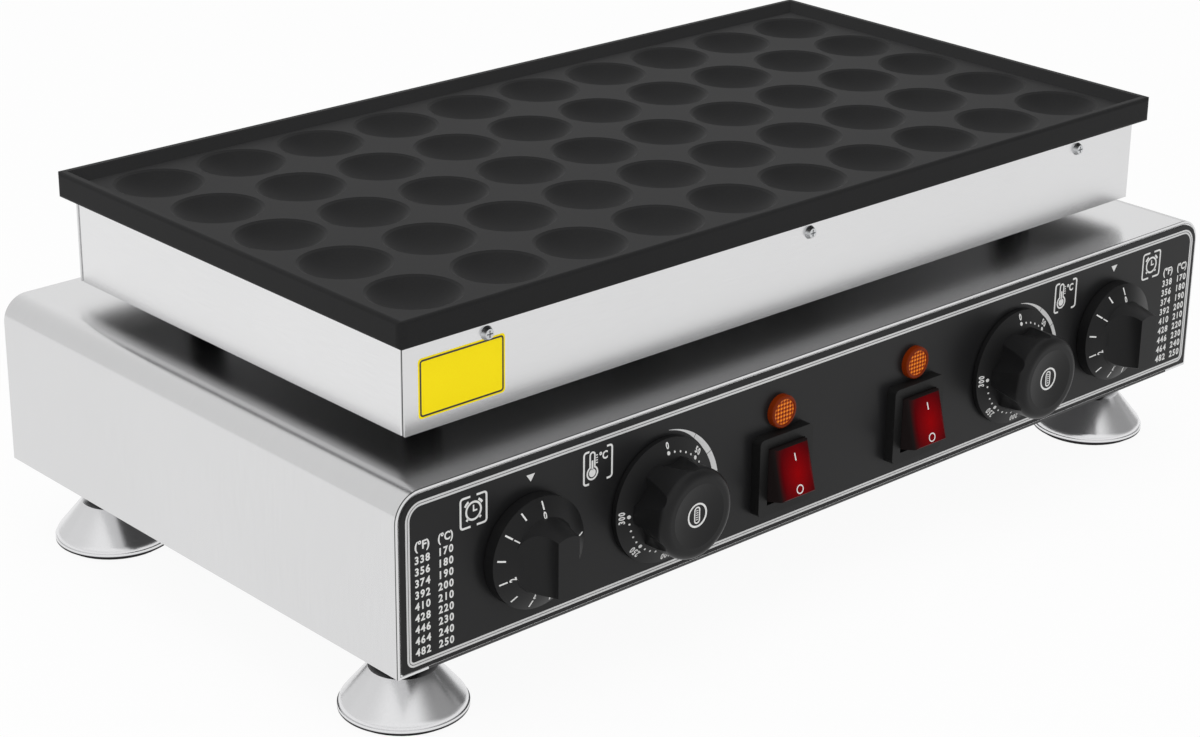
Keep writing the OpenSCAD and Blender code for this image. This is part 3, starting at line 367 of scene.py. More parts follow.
# Painted shade: the bottom cover is made dark so that the feet mirror shade under the base
painted_shade_cover = grained("painted_shade_sheet", (0.08, 0.08, 0.081), tint=0.14, size=5.0, rough=(0.4, 0.55),
                    relief=0.004, metallic=1.0)
coat(darker_pan_steel, "pan_bottom")
coat(painted_shade_cover, "bottom_cover")
coat(blackened, "post_front_left", "post_front_right", "post_rear_left", "post_rear_right")
coat(zinc, "plate_screws", "clamp_bars", "clamp_screws", "cable_conduit", "post_bolts",
     "cover_screws", "foot_bolts", "timer_shaft_left", "timer_shaft_right",
     "thermostat_shaft_left", "thermostat_shaft_right", "control_nuts", "rocker_pins")

# %% [markdown]
# ### Feet
# Each foot is turned from bar, so its marks run round its own axis. Grooves as fine as these would
# take very many faces, so a wave of the distance to that axis gives them as a relief, and each
# foot needs its own centre. Its neck above the cone gets painted shade from the base above it, and
# the lower edge of its rim, down to the rubber pad, gets painted shade too.

# %% Turned feet
WAVE_RADIANS = 20  # by so many radians a wave texture of scale 1 turns in each metre
WAVE_DISTORTION, WAVE_DETAIL, WAVE_STRENGTH = 0.6, 2.0, 0.6


def turned(name, colour, centre, radian_mm, rough, relief):
    """Metal with turned rings: its height follows a wave of the distance from an axis, which turns
    by one radian in each `radian_mm`."""
    finish = grained(name, colour, tint=0.05, size=0.6, rough=rough, relief=relief, metallic=1.0)
    tree, shader = opened(finish)
    wave = add(tree, "TexWave", Vector=body_place(tree, centre=centre),
               Scale=1000 / radian_mm / WAVE_RADIANS, Distortion=WAVE_DISTORTION, Detail=WAVE_DETAIL)
    wave.wave_type = "RINGS"
    wave.rings_direction = "Z"
    bump = add(tree, "Bump", Height=wave.outputs["Fac"], Distance=relief / 1000, Strength=WAVE_STRENGTH)
    tree.links.new(bump.outputs["Normal"], shader.inputs["Normal"])
    return finish


FOOT_METAL, FOOT_PAINTED_SHADE = (0.78, 0.78, 0.79), (0.02, 0.02, 0.021)
NECK_LOW, NECK_HIGH, EDGE_HIGH, EDGE_LOW = 0.0236, 0.0244, 0.0032, 0.0028
for name in ("front_left", "front_right", "rear_left", "rear_right"):
    low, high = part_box("foot_" + name)
    middle = ((low.x + high.x) / 2, (low.y + high.y) / 2, 0)
    metal = turned("turned_foot_" + name, FOOT_METAL, middle, radian_mm=1.2, rough=(0.2, 0.28), relief=0.008)
    # Painted shade: the neck above the cone and the lower edge of the rim are blended to near black
    blend_along(metal, "Z", NECK_LOW, NECK_HIGH, FOOT_PAINTED_SHADE)
    blend_along(metal, "Z", EDGE_HIGH, EDGE_LOW, FOOT_PAINTED_SHADE)
    coat(metal, "foot_" + name)
rubber = grained("foot_rubber", (0.022, 0.022, 0.022), tint=0.25, size=0.7, rough=(0.7, 0.85), relief=0.05)
coat(rubber, "foot_pads")

# %% [markdown]
# ### Plate
# The plate is cast aluminium under a baked black non-stick coat: fine pebbles that break up the
# gloss, and faint rings in the wells, which are turned before the plate is coated. Fifty patterns
# with a centre each could draw the rings. One is enough when the coordinates are folded at the
# pitch, because the distance to the nearest well's middle is then the same formula everywhere.

# %% Non-stick plate
PITCH_X, PITCH_Y, WELL_RADIUS = 0.052, 0.0525, 0.023
RING_PITCH, RING_RELIEF, RING_STRENGTH = 0.0011, 0.000006, 0.4
low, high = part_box("griddle_plate")
PLATE_MIDDLE_Y = (low.y + high.y) / 2

nonstick = grained("nonstick_coat", (0.015, 0.015, 0.0154), tint=0.18, size=0.9, rough=(0.46, 0.62),
                   relief=0.03, Specular_IOR_Level=0.1)


def folded(tree, place, pitch, middle):
    """How far a place is from the middle of its well, on one axis: p - m, wrapped at half a pitch."""
    return calculate(tree, "WRAP", calculate(tree, "SUBTRACT", place, middle), pitch / 2, -pitch / 2)


tree, shader = opened(nonstick)
place = split(tree, "Object")
off = folded(tree, place["X"], PITCH_X, PITCH_X / 2), folded(tree, place["Y"], PITCH_Y, PLATE_MIDDLE_Y)
squares = [calculate(tree, "MULTIPLY", o, o) for o in off]
radius = calculate(tree, "SQRT", calculate(tree, "ADD", *squares))
rings = calculate(tree, "SINE", calculate(tree, "MULTIPLY", radius, 2 * math.pi / RING_PITCH))
inside = calculate(tree, "LESS_THAN", radius, WELL_RADIUS)
turning = add(tree, "Bump", Height=calculate(tree, "MULTIPLY", rings, inside), Distance=RING_RELIEF,
              Strength=RING_STRENGTH, Normal=shader.inputs["Normal"].links[0].from_socket)
tree.links.new(turning.outputs["Normal"], shader.inputs["Normal"])
coat(nonstick, "griddle_plate")

# %% [markdown]
# ### Plastics and what is inside
# The fascia is a smooth black film, the knobs and switch housings are moulded with a fine tool
# grain. Inside are pale control cases, ceramic, glass sleeving and copper. They take the same
# recipe, so that a cut or an opened base looks right too.

# %% Plastics
film = grained("fascia_film", (0.011, 0.011, 0.0115), tint=0.15, size=0.35, rough=(0.3, 0.38), relief=0.004,
               Specular_IOR_Level=0.18)
knob_black = grained("knob_black", (0.009, 0.009, 0.0093), tint=0.2, size=0.3, rough=(0.32, 0.44),
                     relief=0.006, Specular_IOR_Level=0.18)
switch_black = grained("switch_black", (0.009, 0.009, 0.009), tint=0.2, size=0.35, rough=(0.38, 0.5),
                       relief=0.008, Specular_IOR_Level=0.18)
nylon = grained("gland_nylon", (0.03, 0.03, 0.03), tint=0.2, size=0.4, rough=(0.45, 0.6), relief=0.012)
coat(film, "control_fascia")
coat(knob_black, "timer_knob_left", "timer_knob_right", "thermostat_knob_left",
     "thermostat_knob_right")
coat(switch_black, "switch_left", "switch_right")
coat(nylon, "cable_gland", "gland_nut", "lamp_nuts")

# %% Inner pieces
case = grained("control_case", (0.78, 0.75, 0.66), tint=0.05, size=0.5, rough=(0.45, 0.6), relief=0.01)
ceramic = grained("terminal_ceramic", (0.86, 0.84, 0.78), tint=0.03, size=1.5, rough=(0.2, 0.3), relief=0.01)
fibre = grained("ceramic_fibre", (0.84, 0.82, 0.76), tint=0.1, size=1.2, rough=(0.85, 0.95), relief=0.4,
                stretch=ALONG_X)
sheath = grained("element_sheath", (0.2, 0.19, 0.185), tint=0.2, size=0.6, rough=(0.4, 0.6), relief=0.01,
                 metallic=1.0)
copper = grained("capillary_copper", (0.72, 0.42, 0.28), tint=0.1, size=0.5, rough=(0.3, 0.42),
                 relief=0.005, metallic=1.0)
sleeve = grained("wire_sleeve", (0.8, 0.77, 0.7), tint=0.15, size=0.5, rough=(0.75, 0.9), relief=0.06)
coat(case, "timer_left", "timer_right", "thermostat_left", "thermostat_right",
     "lamp_body_left", "lamp_body_right")
coat(ceramic, "terminal_block")
coat(fibre, "insulation_mat")
coat(sheath, "heating_element_left", "heating_element_right")
coat(copper, "probe_left", "probe_right")
coat(sleeve, "heater_leads")

# %% [markdown]
# ### Lit rockers
# A rocker is clear red plastic with a small lamp behind it: bright red in the middle and darker at
# its ends. A real lamp behind see-through plastic would render slowly and with noise, so a
# ball-shaped gradient, squeezed to the rocker's size, carries the glow. Its sides get painted
# shade: the glow and the colour fade to near black where the surface turns away from the front.

# %% Red rockers
ROCKER_RED = (0.2, 0.004, 0.005)
RED_GLOW_AND_SHADE_STOPS = ((0.0, (0.0095, 0.007, 0.007)), (0.3, (0.06, 0.0014, 0.0025)), (1.0, (0.2, 0.001, 0.002)))
GLOW_REACH, GLOW_DEPTH = (0.017, 0.022, 0.024), 0.003
TURNED_AWAY, TO_THE_FRONT = -0.45, -0.92


def lit_red(name, centre, reach):
    """Red that glows round a centre: 1 - |p - centre| / reach, times how far a face looks to the
    front, drives colour and emission. That second factor paints shade on the sides."""
    finish = grained(name, ROCKER_RED, tint=0.1, size=0.4, rough=(0.3, 0.4), relief=0.004,
                     Specular_IOR_Level=0.01, Emission_Strength=0.35)
    tree = finish.node_tree
    ball = add(tree, "TexGradient", Vector=body_place(tree, [1 / r for r in reach], centre))
    ball.gradient_type = "SPHERICAL"
    # Painted shade: faces turned away from the front fade to near black
    front = carried(tree, split(tree, "Normal")["Y"], TURNED_AWAY, TO_THE_FRONT)
    glow = calculate(tree, "MULTIPLY", ball.outputs["Fac"], front)
    glowing(finish, shades(tree, glow, *RED_GLOW_AND_SHADE_STOPS))
    return finish


for side, _ in SIDES:
    low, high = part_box("rocker_" + side)
    middle = ((low.x + high.x) / 2, low.y + GLOW_DEPTH, (low.z + high.z) / 2)
    coat(lit_red("rocker_red_" + side, middle, GLOW_REACH), "rocker_" + side)

# %% [markdown]
# ## Thin films
# Everything printed on the panel and the dials is a thin film. Each mark is drawn flat, with
# u to the right, v upwards and a height of 1 on its face and 0 on its back. A surface function
# then lays u, v and height onto the panel, a domed dial or a rocker. A picture on the panel could
# show the marks too, but shapes stay sharp from close by and go along with the meshes. A mark
# keeps a real, very small thickness, so it is a closed shape from every side.

# %% Lines and filled shapes
FILM, SINK = 0.08, 0.03  # how far a mark's face stands out, and how far its back sinks in


def unit(v):
    """Vectors of length 1."""
    return v / np.linalg.norm(v, axis=-1, keepdims=True)


def band(left, right, closed=False):
    """A film between two edge lines. Their i-th points, on the face and on the back, make a
    ring of four corners, and the rings are joined in order."""
    n = len(left)
    flat = np.stack([left, right, right, left], 1)
    height = np.broadcast_to([1.0, 1.0, 0.0, 0.0], (n, 4))[..., None]
    points = np.concatenate([flat, height], 2).reshape(-1, 3)
    i, k = np.meshgrid(np.arange(n if closed else n - 1), np.arange(4), indexing="ij")
    j, m = (i + 1) % n, (k + 1) % 4
    faces = np.stack([4 * i + k, 4 * j + k, 4 * j + m, 4 * i + m], -1).reshape(-1, 4).tolist()
    if not closed:
        faces += [[0, 1, 2, 3], [4 * n - 1, 4 * n - 2, 4 * n - 3, 4 * n - 4]]
    return points, faces


def stroke(path, width, closed=False):
    """A line of even width: p + m w / 2 and p - m w / 2 along a path p, where m is the mitred
    normal, the mean of the two neighbouring normals divided by the cosine of half their turn."""
    p = np.asarray(path, float)
    if closed:
        before, after = unit(p - np.roll(p, 1, 0)), unit(np.roll(p, -1, 0) - p)
    else:
        step = unit(np.diff(p, axis=0))
        before, after = np.vstack([step[:1], step]), np.vstack([step, step[-1:]])
    mean = before + after
    normal = unit(np.stack([-mean[:, 1], mean[:, 0]], 1))
    mitre = normal / np.sqrt((1 + (before * after).sum(1, keepdims=True)) / 2)
    return band(p + mitre * width / 2, p - mitre * width / 2, closed)


def patch(outline):
    """A filled outline: the face, the back and the wall between them."""
    p = np.asarray(outline, float)
    n = len(p)
    points = np.vstack([np.c_[p, np.ones(n)], np.c_[p, np.zeros(n)]])
    i = np.arange(n)
    j = (i + 1) % n
    wall = np.stack([i, i + n, j + n, j], 1).tolist()
    return points, [list(range(n)), list(range(2 * n - 1, n - 1, -1)), *wall]


# %% Outlines
def arc(r, start, end, n=24, centre=(0, 0)):
    """Points on a circle of radius r from one angle to another, in degrees."""
    t = np.radians(np.linspace(start, end, n))
    return np.c_[centre[0] + r * np.cos(t), centre[1] + r * np.sin(t)]


def circle(r, n):
    """A full circle of n points."""
    return arc(r, 0, 360, n + 1)[:-1]


def rounded(w, h, r_top, r_bottom, n=9):
    """Outline of a w x h rectangle about the origin, with round corners, anticlockwise."""
    x, y = w / 2, h / 2
    return np.vstack([arc(r_top, 0, 90, n, (x - r_top, y - r_top)),
                      arc(r_top, 90, 180, n, (r_top - x, y - r_top)),
                      arc(r_bottom, 180, 270, n, (r_bottom - x, r_bottom - y)),
                      arc(r_bottom, 270, 360, n, (x - r_bottom, r_bottom - y))])


# %% Placing and joining marks
def put(mark, u=0.0, v=0.0, turn=0.0, size=1.0):
    """A mark made larger, turned anticlockwise in degrees and moved."""
    points, faces = mark
    c, s = math.cos(math.radians(turn)) * size, math.sin(math.radians(turn)) * size
    flat = points[:, :2] @ np.array([[c, s], [-s, c]]) + [u, v]
    return np.c_[flat, points[:, 2]], faces


def joined(marks):
    """Several marks as one."""
    starts = np.cumsum([0] + [len(points) for points, _ in marks])
    faces = [[k + int(start) for k in face] for start, (_, fs) in zip(starts, marks) for face in fs]
    return np.vstack([points for points, _ in marks]), faces


# %% From arrays to a piece
MERGE = 1e-7


def piece(name, points, faces, finish, body, smooth=False):
    """Makes a closed mesh of points in mm, merges doubles, turns its faces outwards and lets
    it ride on a body."""
    mesh = bpy.data.meshes.new(name)
    mesh.from_pydata((np.asarray(points) / 1000).tolist(), [], faces)
    made = bmesh.new()
    made.from_mesh(mesh)
    bmesh.ops.remove_doubles(made, verts=made.verts, dist=MERGE)
    bmesh.ops.recalc_face_normals(made, faces=made.faces)
    for face in made.faces:
        face.smooth = smooth
    made.to_mesh(mesh)
    made.free()
    mesh.materials.append(finish)
    thing = bpy.data.objects.new(name, mesh)
    scene.collection.objects.link(thing)
    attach(thing, body)
    print("piece", name, len(mesh.polygons), "faces")
    return thing


def film_piece(name, marks, surface, finish, body):
    """Lays marks on a surface and makes one piece of them."""
    points, faces = joined(marks)
    return piece(name, surface(*points.T), faces, finish, body)


# %% [markdown]
# ## Figures
# Figures come from Blender's own font, so that no outline has to be typed in. They are drawn a
# little bolder, made into a mesh once for each character and then set out at an even pitch, as a
# panel printer would set them.

# %% Figures
BOLDER, CURVE_STEPS = 0.03, 3
glyphs = {}


def glyph(text):
    """The mesh of a short text, centred, with heights 0 and 1, and its width and height."""
    if text not in glyphs:
        curve = bpy.data.curves.new("glyph", "FONT")
        curve.body = text
        curve.extrude = 0.5
        curve.resolution_u = CURVE_STEPS
        curve.offset = BOLDER
        holder = bpy.data.objects.new("glyph", curve)
        scene.collection.objects.link(holder)
        bpy.context.view_layer.update()
        ready = holder.evaluated_get(bpy.context.evaluated_depsgraph_get())
        mesh = bpy.data.meshes.new_from_object(ready)
        points = np.empty(len(mesh.vertices) * 3)
        mesh.vertices.foreach_get("co", points)
        points = points.reshape(-1, 3)
        low, high = points.min(0), points.max(0)
        points = points - [*(low + high)[:2] / 2, low[2]]
        faces = [list(polygon.vertices) for polygon in mesh.polygons]
        glyphs[text] = (points, faces), high[0] - low[0], high[1] - low[1]
        bpy.data.objects.remove(holder)
        bpy.data.curves.remove(curve)
        bpy.data.meshes.remove(mesh)
    return glyphs[text]


def label(text, width, height):
    """A text fitted into a width and a height."""
    (points, faces), w, h = glyph(text)
    return points * [width / w, height / h, 1], faces


def number(text, height, pitch, slim=0.82):
    """Figures of a height at an even pitch, a little slimmer than the font draws them."""
    size = height / glyph("0")[2]
    middle = (len(text) - 1) / 2
    marks = []
    for k, figure in enumerate(text):
        (points, faces), _, _ = glyph(figure)
        marks.append(put((points * [slim, 1, 1], faces), (k - middle) * pitch, size=size))
    return joined(marks)


print("figure width and height", [round(x, 3) for x in glyph("0")[1:]])

# %% [markdown]
# ## Printed panel
# The panel carries a double silver line round its edge, a clock and a thermometer sign in brackets,
# a triangle over each timer, a silver crescent round each thermostat and a table that sets the two
# temperature scales side by side. Each kind is one piece, in white or in silver, on the black film.

# %% Print finishes
print_white = grained("print_white", (0.78, 0.78, 0.77), tint=0.05, size=0.3, rough=(0.45, 0.6),
                      relief=0.002)
print_silver = grained("print_silver", (0.62, 0.62, 0.62), tint=0.06, size=0.3, rough=(0.3, 0.42),
                       relief=0.002, metallic=0.4)
print("prints", print_white.name, print_silver.name)

# %% Places on the panel, in mm
fascia_low, fascia_high = (np.array(c) * 1000 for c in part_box("control_fascia"))
FASCIA_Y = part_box("control_fascia")[0].y * 1000
BASE_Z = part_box("base_shell")[0].z * 1000
TIMER = (216.5, BASE_Z + 43)
THERMOSTAT = (132.0, BASE_Z + 43)
SWITCH = (50.0, BASE_Z + 35.5)
LAMP = (50.0, BASE_Z + 67)


def upright(y):
    """Lays marks on an upright plane that faces the front: u is x and v is z."""
    return lambda u, v, h: np.stack([u, y - FILM * h + SINK * (1 - h), v], -1)


print("fascia at y", round(FASCIA_Y, 2))

# %% Silver border
BORDER_SIDE, BORDER_TOP, BORDER_BOTTOM = 3.7, 3.9, 3.4
BORDER_LINE, BORDER_GAP = 1.05, 0.35
ROUND_TOP, ROUND_BOTTOM = 8.0, 3.0
low = fascia_low[[0, 2]] + [BORDER_SIDE, BORDER_BOTTOM]
high = fascia_high[[0, 2]] - [BORDER_SIDE, BORDER_TOP]
border = []
for away in (-1, 1):
    step = away * (BORDER_LINE + BORDER_GAP) / 2
    outline = rounded(*(high - low + 2 * step), ROUND_TOP + step, ROUND_BOTTOM + step)
    border.append(put(stroke(outline, BORDER_LINE, True), *(high + low) / 2))
film_piece("panel_border", border, upright(FASCIA_Y), print_silver, "stand")

# %% Clock and brackets
LINE = 1.05
CLOCK_RADIUS, BELL_RADIUS, BELL_LINE = 4.4, 5.9, 1.25
HANDS, HAND_LINE = [(0, 2.9), (0, 0), (2.2, 0)], 0.8
CLOCK_FOOT = np.array([(3.2, -3.2), (4.3, -4.3)])


def brackets(width, height, gap, r=1.5):
    """A box of two brackets, open at the middle of its top and bottom."""
    x, y = width / 2, height / 2
    side = np.vstack([[(gap / 2, y)], arc(r, 90, 0, 5, (x - r, y - r)),
                      arc(r, 0, -90, 5, (x - r, r - y)), [(gap / 2, -y)]])
    return [stroke(side, LINE), stroke(side * [-1, 1], LINE)]


def clock_sign():
    """A round clock with two hands, two bells and two feet."""
    bell = arc(BELL_RADIUS, 60, 30, 5)
    both = [line * [s, 1] for line in (bell, CLOCK_FOOT) for s in (-1, 1)]
    return [stroke(circle(CLOCK_RADIUS, 40), LINE, True), stroke(HANDS, HAND_LINE),
            *[stroke(line, BELL_LINE) for line in both]]


# %% Thermometer
BULB, STEM, STEM_TOP, GLASS_LINE = 3.25, 1.5, 9.1, 0.9
FILL, COLUMN, COLUMN_LINE = 2.1, [(0, 1.6), (0, 6.4)], 1.1
GRADES, GRADE_START, GRADE_END, GRADE_LINE = (4.6, 5.9, 7.2, 8.5), 2.3, 3.4, 0.55
GLASS_PLACE, UNIT_SIZE, UNIT_PLACE = (-3.6, -3.0), (5.4, 4.5), (3.5, 4.2)


def thermometer_sign():
    """A bulb and a stem in outline, with a filled column inside."""
    join = math.degrees(math.acos(STEM / BULB))
    glass = np.vstack([arc(BULB, join, join - 360 + 2 * (90 - join), 33),
                       arc(STEM, 180, 0, 13, (0, STEM_TOP))])
    return [stroke(glass, GLASS_LINE, True), patch(circle(FILL, 24)), stroke(COLUMN, COLUMN_LINE)]


def degree_sign():
    """A thermometer with a short scale, beside the unit of the dial."""
    grades = [stroke([(GRADE_START, h), (GRADE_END, h)], GRADE_LINE) for h in GRADES]
    return [*[put(mark, *GLASS_PLACE) for mark in thermometer_sign() + grades],
            put(label("°C", *UNIT_SIZE), *UNIT_PLACE)]


# %% Signs
TRIANGLE = patch([(-2.6, 1.85), (0, -1.85), (2.6, 1.85)])
CLOCK_BOX, DEGREE_BOX = (15.5, 15.1, 3.8), (18.0, 16.7, 11.3)
CLOCK_PLACE, DEGREE_PLACE, TRIANGLE_PLACE = (251.4, 72.7), (174.5, 72.9), (216.8, 78.8)
PRINT_SHIFT = 1.0
signs = []
for _, s in SIDES:
    for marks, (x, z) in (([*brackets(*CLOCK_BOX), *clock_sign()], CLOCK_PLACE),
                          ([*brackets(*DEGREE_BOX), *degree_sign()], DEGREE_PLACE),
                          ([TRIANGLE], TRIANGLE_PLACE)):
        signs += [put(mark, s * x + PRINT_SHIFT, BASE_Z + z) for mark in marks]
film_piece("panel_signs", signs, upright(FASCIA_Y), print_white, "stand")

# %% Temperature tables
ROWS = [170 + 10 * k for k in range(9)]
ROW_TOP, ROW_STEP, HEAD_TOP = 58.0, 5.85, 64.5
HEADS = (("(°F)", 8.6, 5.9), ("(°C)", 8.8, 5.9))
TABLES = ((-280.8, -267.1), (269.1, 282.2))  # where each table's two columns stand
FIGURE, FIGURE_PITCH, FIGURE_SLIM = 4.1, 3.2, 0.96
table = []
for columns in TABLES:
    table += [put(label(*head), x, BASE_Z + HEAD_TOP) for head, x in zip(HEADS, columns)]
    for k, celsius in enumerate(ROWS):
        for degrees, x in zip((celsius * 9 // 5 + 32, celsius), columns):
            figures = number(str(degrees), FIGURE, FIGURE_PITCH, FIGURE_SLIM)
            table.append(put(figures, x, BASE_Z + ROW_TOP - k * ROW_STEP))
film_piece("panel_table", table, upright(FASCIA_Y), print_white, "stand")

# %% Crescents
CRESCENT_INNER, CRESCENT_OUTER, CRESCENT_DROP, CRESCENT_POINTS = 33.8, 39.6, 4.4, 14
# Each stretch: the angles that it runs between, and how far it narrows towards the second one
STRETCHES = ((50.3, 82, 0.85), (49.7, 25.3, 0.0), (24.7, 5.3, 0.0), (4.7, -5, 0.9))


def crescent(start, end, point):
    """A stretch between a circle about the dial and a larger one set lower. At angle t the outer
    edge is at -d sin t + sqrt(R^2 - d^2 cos^2 t); point draws the inner edge out to it."""
    t = np.radians(np.linspace(start, end, CRESCENT_POINTS))
    way = np.c_[np.cos(t), np.sin(t)]
    outer = -CRESCENT_DROP * np.sin(t) + np.sqrt(CRESCENT_OUTER**2 - (CRESCENT_DROP * np.cos(t))**2)
    inner = CRESCENT_INNER + point * (outer - CRESCENT_INNER) * np.linspace(0, 1, CRESCENT_POINTS)
    return band(way * outer[:, None], way * inner[:, None])


arcs = [put(crescent(*stretch), s * THERMOSTAT[0], THERMOSTAT[1]) for _, s in SIDES for stretch in STRETCHES]
film_piece("panel_crescents", arcs, upright(FASCIA_Y), print_silver, "stand")

# %% [markdown]
# ## Marked dials
# The timers count five minutes in half-minute ticks, anticlockwise from the top; the thermostats
# count to three hundred degrees clockwise. A timer's dial is part of a ball and a thermostat's
# dial is a shallow cone, so the marks are lifted by the height of that surface at their distance
# from the middle. They ride on the knobs and turn with them.

# %% Dial surfaces
DIAL_TOP, DIAL_EDGE, DIAL_RADIUS = 14.0, 6.8, 28.25
BALL = (DIAL_RADIUS**2 + (DIAL_TOP - DIAL_EDGE)**2) / (2 * (DIAL_TOP - DIAL_EDGE))
CONE_EDGE, CONE_RADIUS, CONE_TOP, CONE_INNER = 3.2, 32.5, 6.8, 20.1
KNOB_FRONT, DISH_DEPTH, DISH_RADIUS = 27.5, 1.8, 16.5
DISH_BALL = (DISH_RADIUS**2 + DISH_DEPTH**2) / (2 * DISH_DEPTH)


def dome(r):
    """Height of a timer's dial: a ball's cap."""
    return DIAL_TOP - BALL + np.sqrt(BALL**2 - r**2)


def cone(r):
    """Height of a thermostat's dial: a straight slope."""
    return CONE_EDGE + (CONE_RADIUS - r) * (CONE_TOP - CONE_EDGE) / (CONE_RADIUS - CONE_INNER)


def dish(r):
    """Height of a thermostat knob's hollow front."""
    return KNOB_FRONT - DISH_DEPTH + DISH_BALL - np.sqrt(DISH_BALL**2 - r**2)


def on_knob(x, z, rise):
    """Lays marks about a knob's axis on a surface that stands rise(r) out of the panel."""
    return lambda u, v, h: np.stack(
        [x + u, FASCIA_Y - rise(np.hypot(u, v)) - FILM * h + SINK * (1 - h), z + v], -1)


print("ball", round(BALL, 2), "dish", round(DISH_BALL, 2))


# %% Timer marks
def at(mark, r, angle):
    """A mark moved out to a radius at an angle, with its top outwards."""
    return put(put(mark, 0, r), turn=angle - 90)


TICK_HALF, TICK_LINE, TICK_RADIUS, TICK_START, TICK_STEP = 1.9, 0.85, 24.7, 88, 27.8
MINUTE, MINUTE_PITCH, MINUTE_RADIUS = 3.6, 2.6, 20.2
tick = stroke([(0, -TICK_HALF), (0, TICK_HALF)], TICK_LINE)
timer_marks = [at(tick, TICK_RADIUS, TICK_START + TICK_STEP * k) for k in range(11)]
timer_marks += [at(number(str(k), MINUTE, MINUTE_PITCH), MINUTE_RADIUS, TICK_START + 2 * TICK_STEP * k)
                for k in range(6)]
print("timer marks", len(timer_marks))

# %% Thermostat marks
DOT, SMALL_DOT, DOT_RADIUS = 1.0, 0.55, 25.7
HEAT, HEAT_PITCH, HEAT_RADIUS = 3.5, 2.3, 29.4
DEGREE_START, DEGREE_STEP = 90.0, 44.8
dot, small_dot = patch(circle(DOT, 20)), patch(circle(SMALL_DOT, 12))
heat_marks = [at(dot, DOT_RADIUS, DEGREE_START - DEGREE_STEP * k) for k in range(7)]
heat_marks += [at(small_dot, DOT_RADIUS, DEGREE_START - DEGREE_STEP * k / 5) for k in range(30) if k % 5]
heat_marks += [at(number(str(50 * k), HEAT, HEAT_PITCH), HEAT_RADIUS, DEGREE_START - DEGREE_STEP * k)
               for k in range(7)]
print("thermostat marks", len(heat_marks))

# %% Badges, and all marks as pieces
BADGE_RADIUS, BADGE_LINE = 5.9, 1.0
TUBE_WIDTH, TUBE_LENGTH, TUBE_CORNER, TUBE_LINE = 3.2, 8.2, 1.5, 0.75
RUNGS, RUNG_HALF, RUNG_LINE = (-2.4, -1.2, 0, 1.2, 2.4), 0.8, 0.45
badge = [stroke(circle(BADGE_RADIUS, 48), BADGE_LINE, True),
         stroke(rounded(TUBE_WIDTH, TUBE_LENGTH, TUBE_CORNER, TUBE_CORNER), TUBE_LINE, True)]
badge += [stroke([(-RUNG_HALF, v), (RUNG_HALF, v)], RUNG_LINE) for v in RUNGS]

for side, s in SIDES:
    film_piece("timer_marks_" + side, timer_marks, on_knob(s * TIMER[0], TIMER[1], dome), print_white,
               side + "_timer")
    film_piece("thermostat_marks_" + side, heat_marks, on_knob(s * THERMOSTAT[0], THERMOSTAT[1], cone),
               print_white, side + "_thermostat")
    film_piece("thermostat_badge_" + side, badge, on_knob(s * THERMOSTAT[0], THERMOSTAT[1], dish),
               print_white, side + "_thermostat")

# %% [markdown]
# ## Rocker marks
# A line for on and a ring for off, on the two halves of each rocker's face. The face bulges a
# little and stands tilted about the rocker's pin, so the marks are laid on the level face first
# and then turned with it.

# %% Rocker marks
PIVOT_OUT, TILT = 3.5, math.radians(15)
FACE_OUT, FACE_BULGE, FACE_LENGTH = 11.0, 0.8, 27.5
FACE_RADIUS = ((FACE_LENGTH / 2)**2 + FACE_BULGE**2) / (2 * FACE_BULGE)


def on_rocker(x, z):
    """Lays marks on a rocker: its face stands f - R + sqrt(R^2 - v^2) out of the pin, and is
    turned by the tilt about the pin's axis."""
    def lay(u, v, h):
        out = FACE_OUT - FACE_RADIUS + np.sqrt(FACE_RADIUS**2 - v**2) + FILM * h - SINK * (1 - h)
        up = v * math.cos(TILT) + out * math.sin(TILT)
        away = out * math.cos(TILT) - v * math.sin(TILT)
        return np.stack([x + u, FASCIA_Y - PIVOT_OUT - away, z + up], -1)
    return lay


ON_LOW, ON_HIGH, ON_LINE = 5.3, 9.2, 0.75
OFF_RADIUS, OFF_SQUASH, OFF_PLACE, OFF_LINE = 2.2, [1.0, 0.98], -9.8, 0.6
on_mark = stroke([(0, ON_LOW), (0, ON_HIGH)], ON_LINE)
off_mark = put(stroke(circle(OFF_RADIUS, 32) * OFF_SQUASH, OFF_LINE, True), 0, OFF_PLACE)
for side, s in SIDES:
    film_piece("rocker_marks_" + side, [on_mark, off_mark], on_rocker(s * SWITCH[0], SWITCH[1]), print_white,
               side + "_rocker")

# %% [markdown]
# ## Lamp lenses
# A lamp's amber lens is a level face inside a low round rim. The face is pressed in small studs,
# which scatter the lamp's light; the finish paints that as a painted highlight on their tops and
# painted shade between them, and keeps the rim at a darker painted level. A bump in the finish
# could stand for the studs, but it would be missing from the mesh. So the lens is a grid over
# radius and angle, and the studs are a product of two waves across the face, which fades out
# before the rim. Each corner keeps its place in that wave, and the finish reads it for these
# painted highlights and painted shade in its colour and glow.

# %% Lens finish
AMBER_STOPS = ((0.1, (0.09, 0.009, 0.001)), (0.5, (0.33, 0.048, 0.003)), (0.95, (0.8, 0.25, 0.02)))
amber = grained("lens_amber", (0.42, 0.09, 0.006), tint=0.3, size=0.9, rough=(0.15, 0.25), relief=0.01,
                Specular_IOR_Level=0.08, Emission_Strength=0.3)
tree = amber.node_tree
wave = add(tree, "Attribute")
wave.attribute_name = "stud"
# Painted highlights on the stud tops and painted shade between them, in colour and glow
glowing(amber, shades(tree, carried(tree, wave.outputs["Fac"], -1.0, 1.0), *AMBER_STOPS))
coat(amber, "lamp_lens_left", "lamp_lens_right")

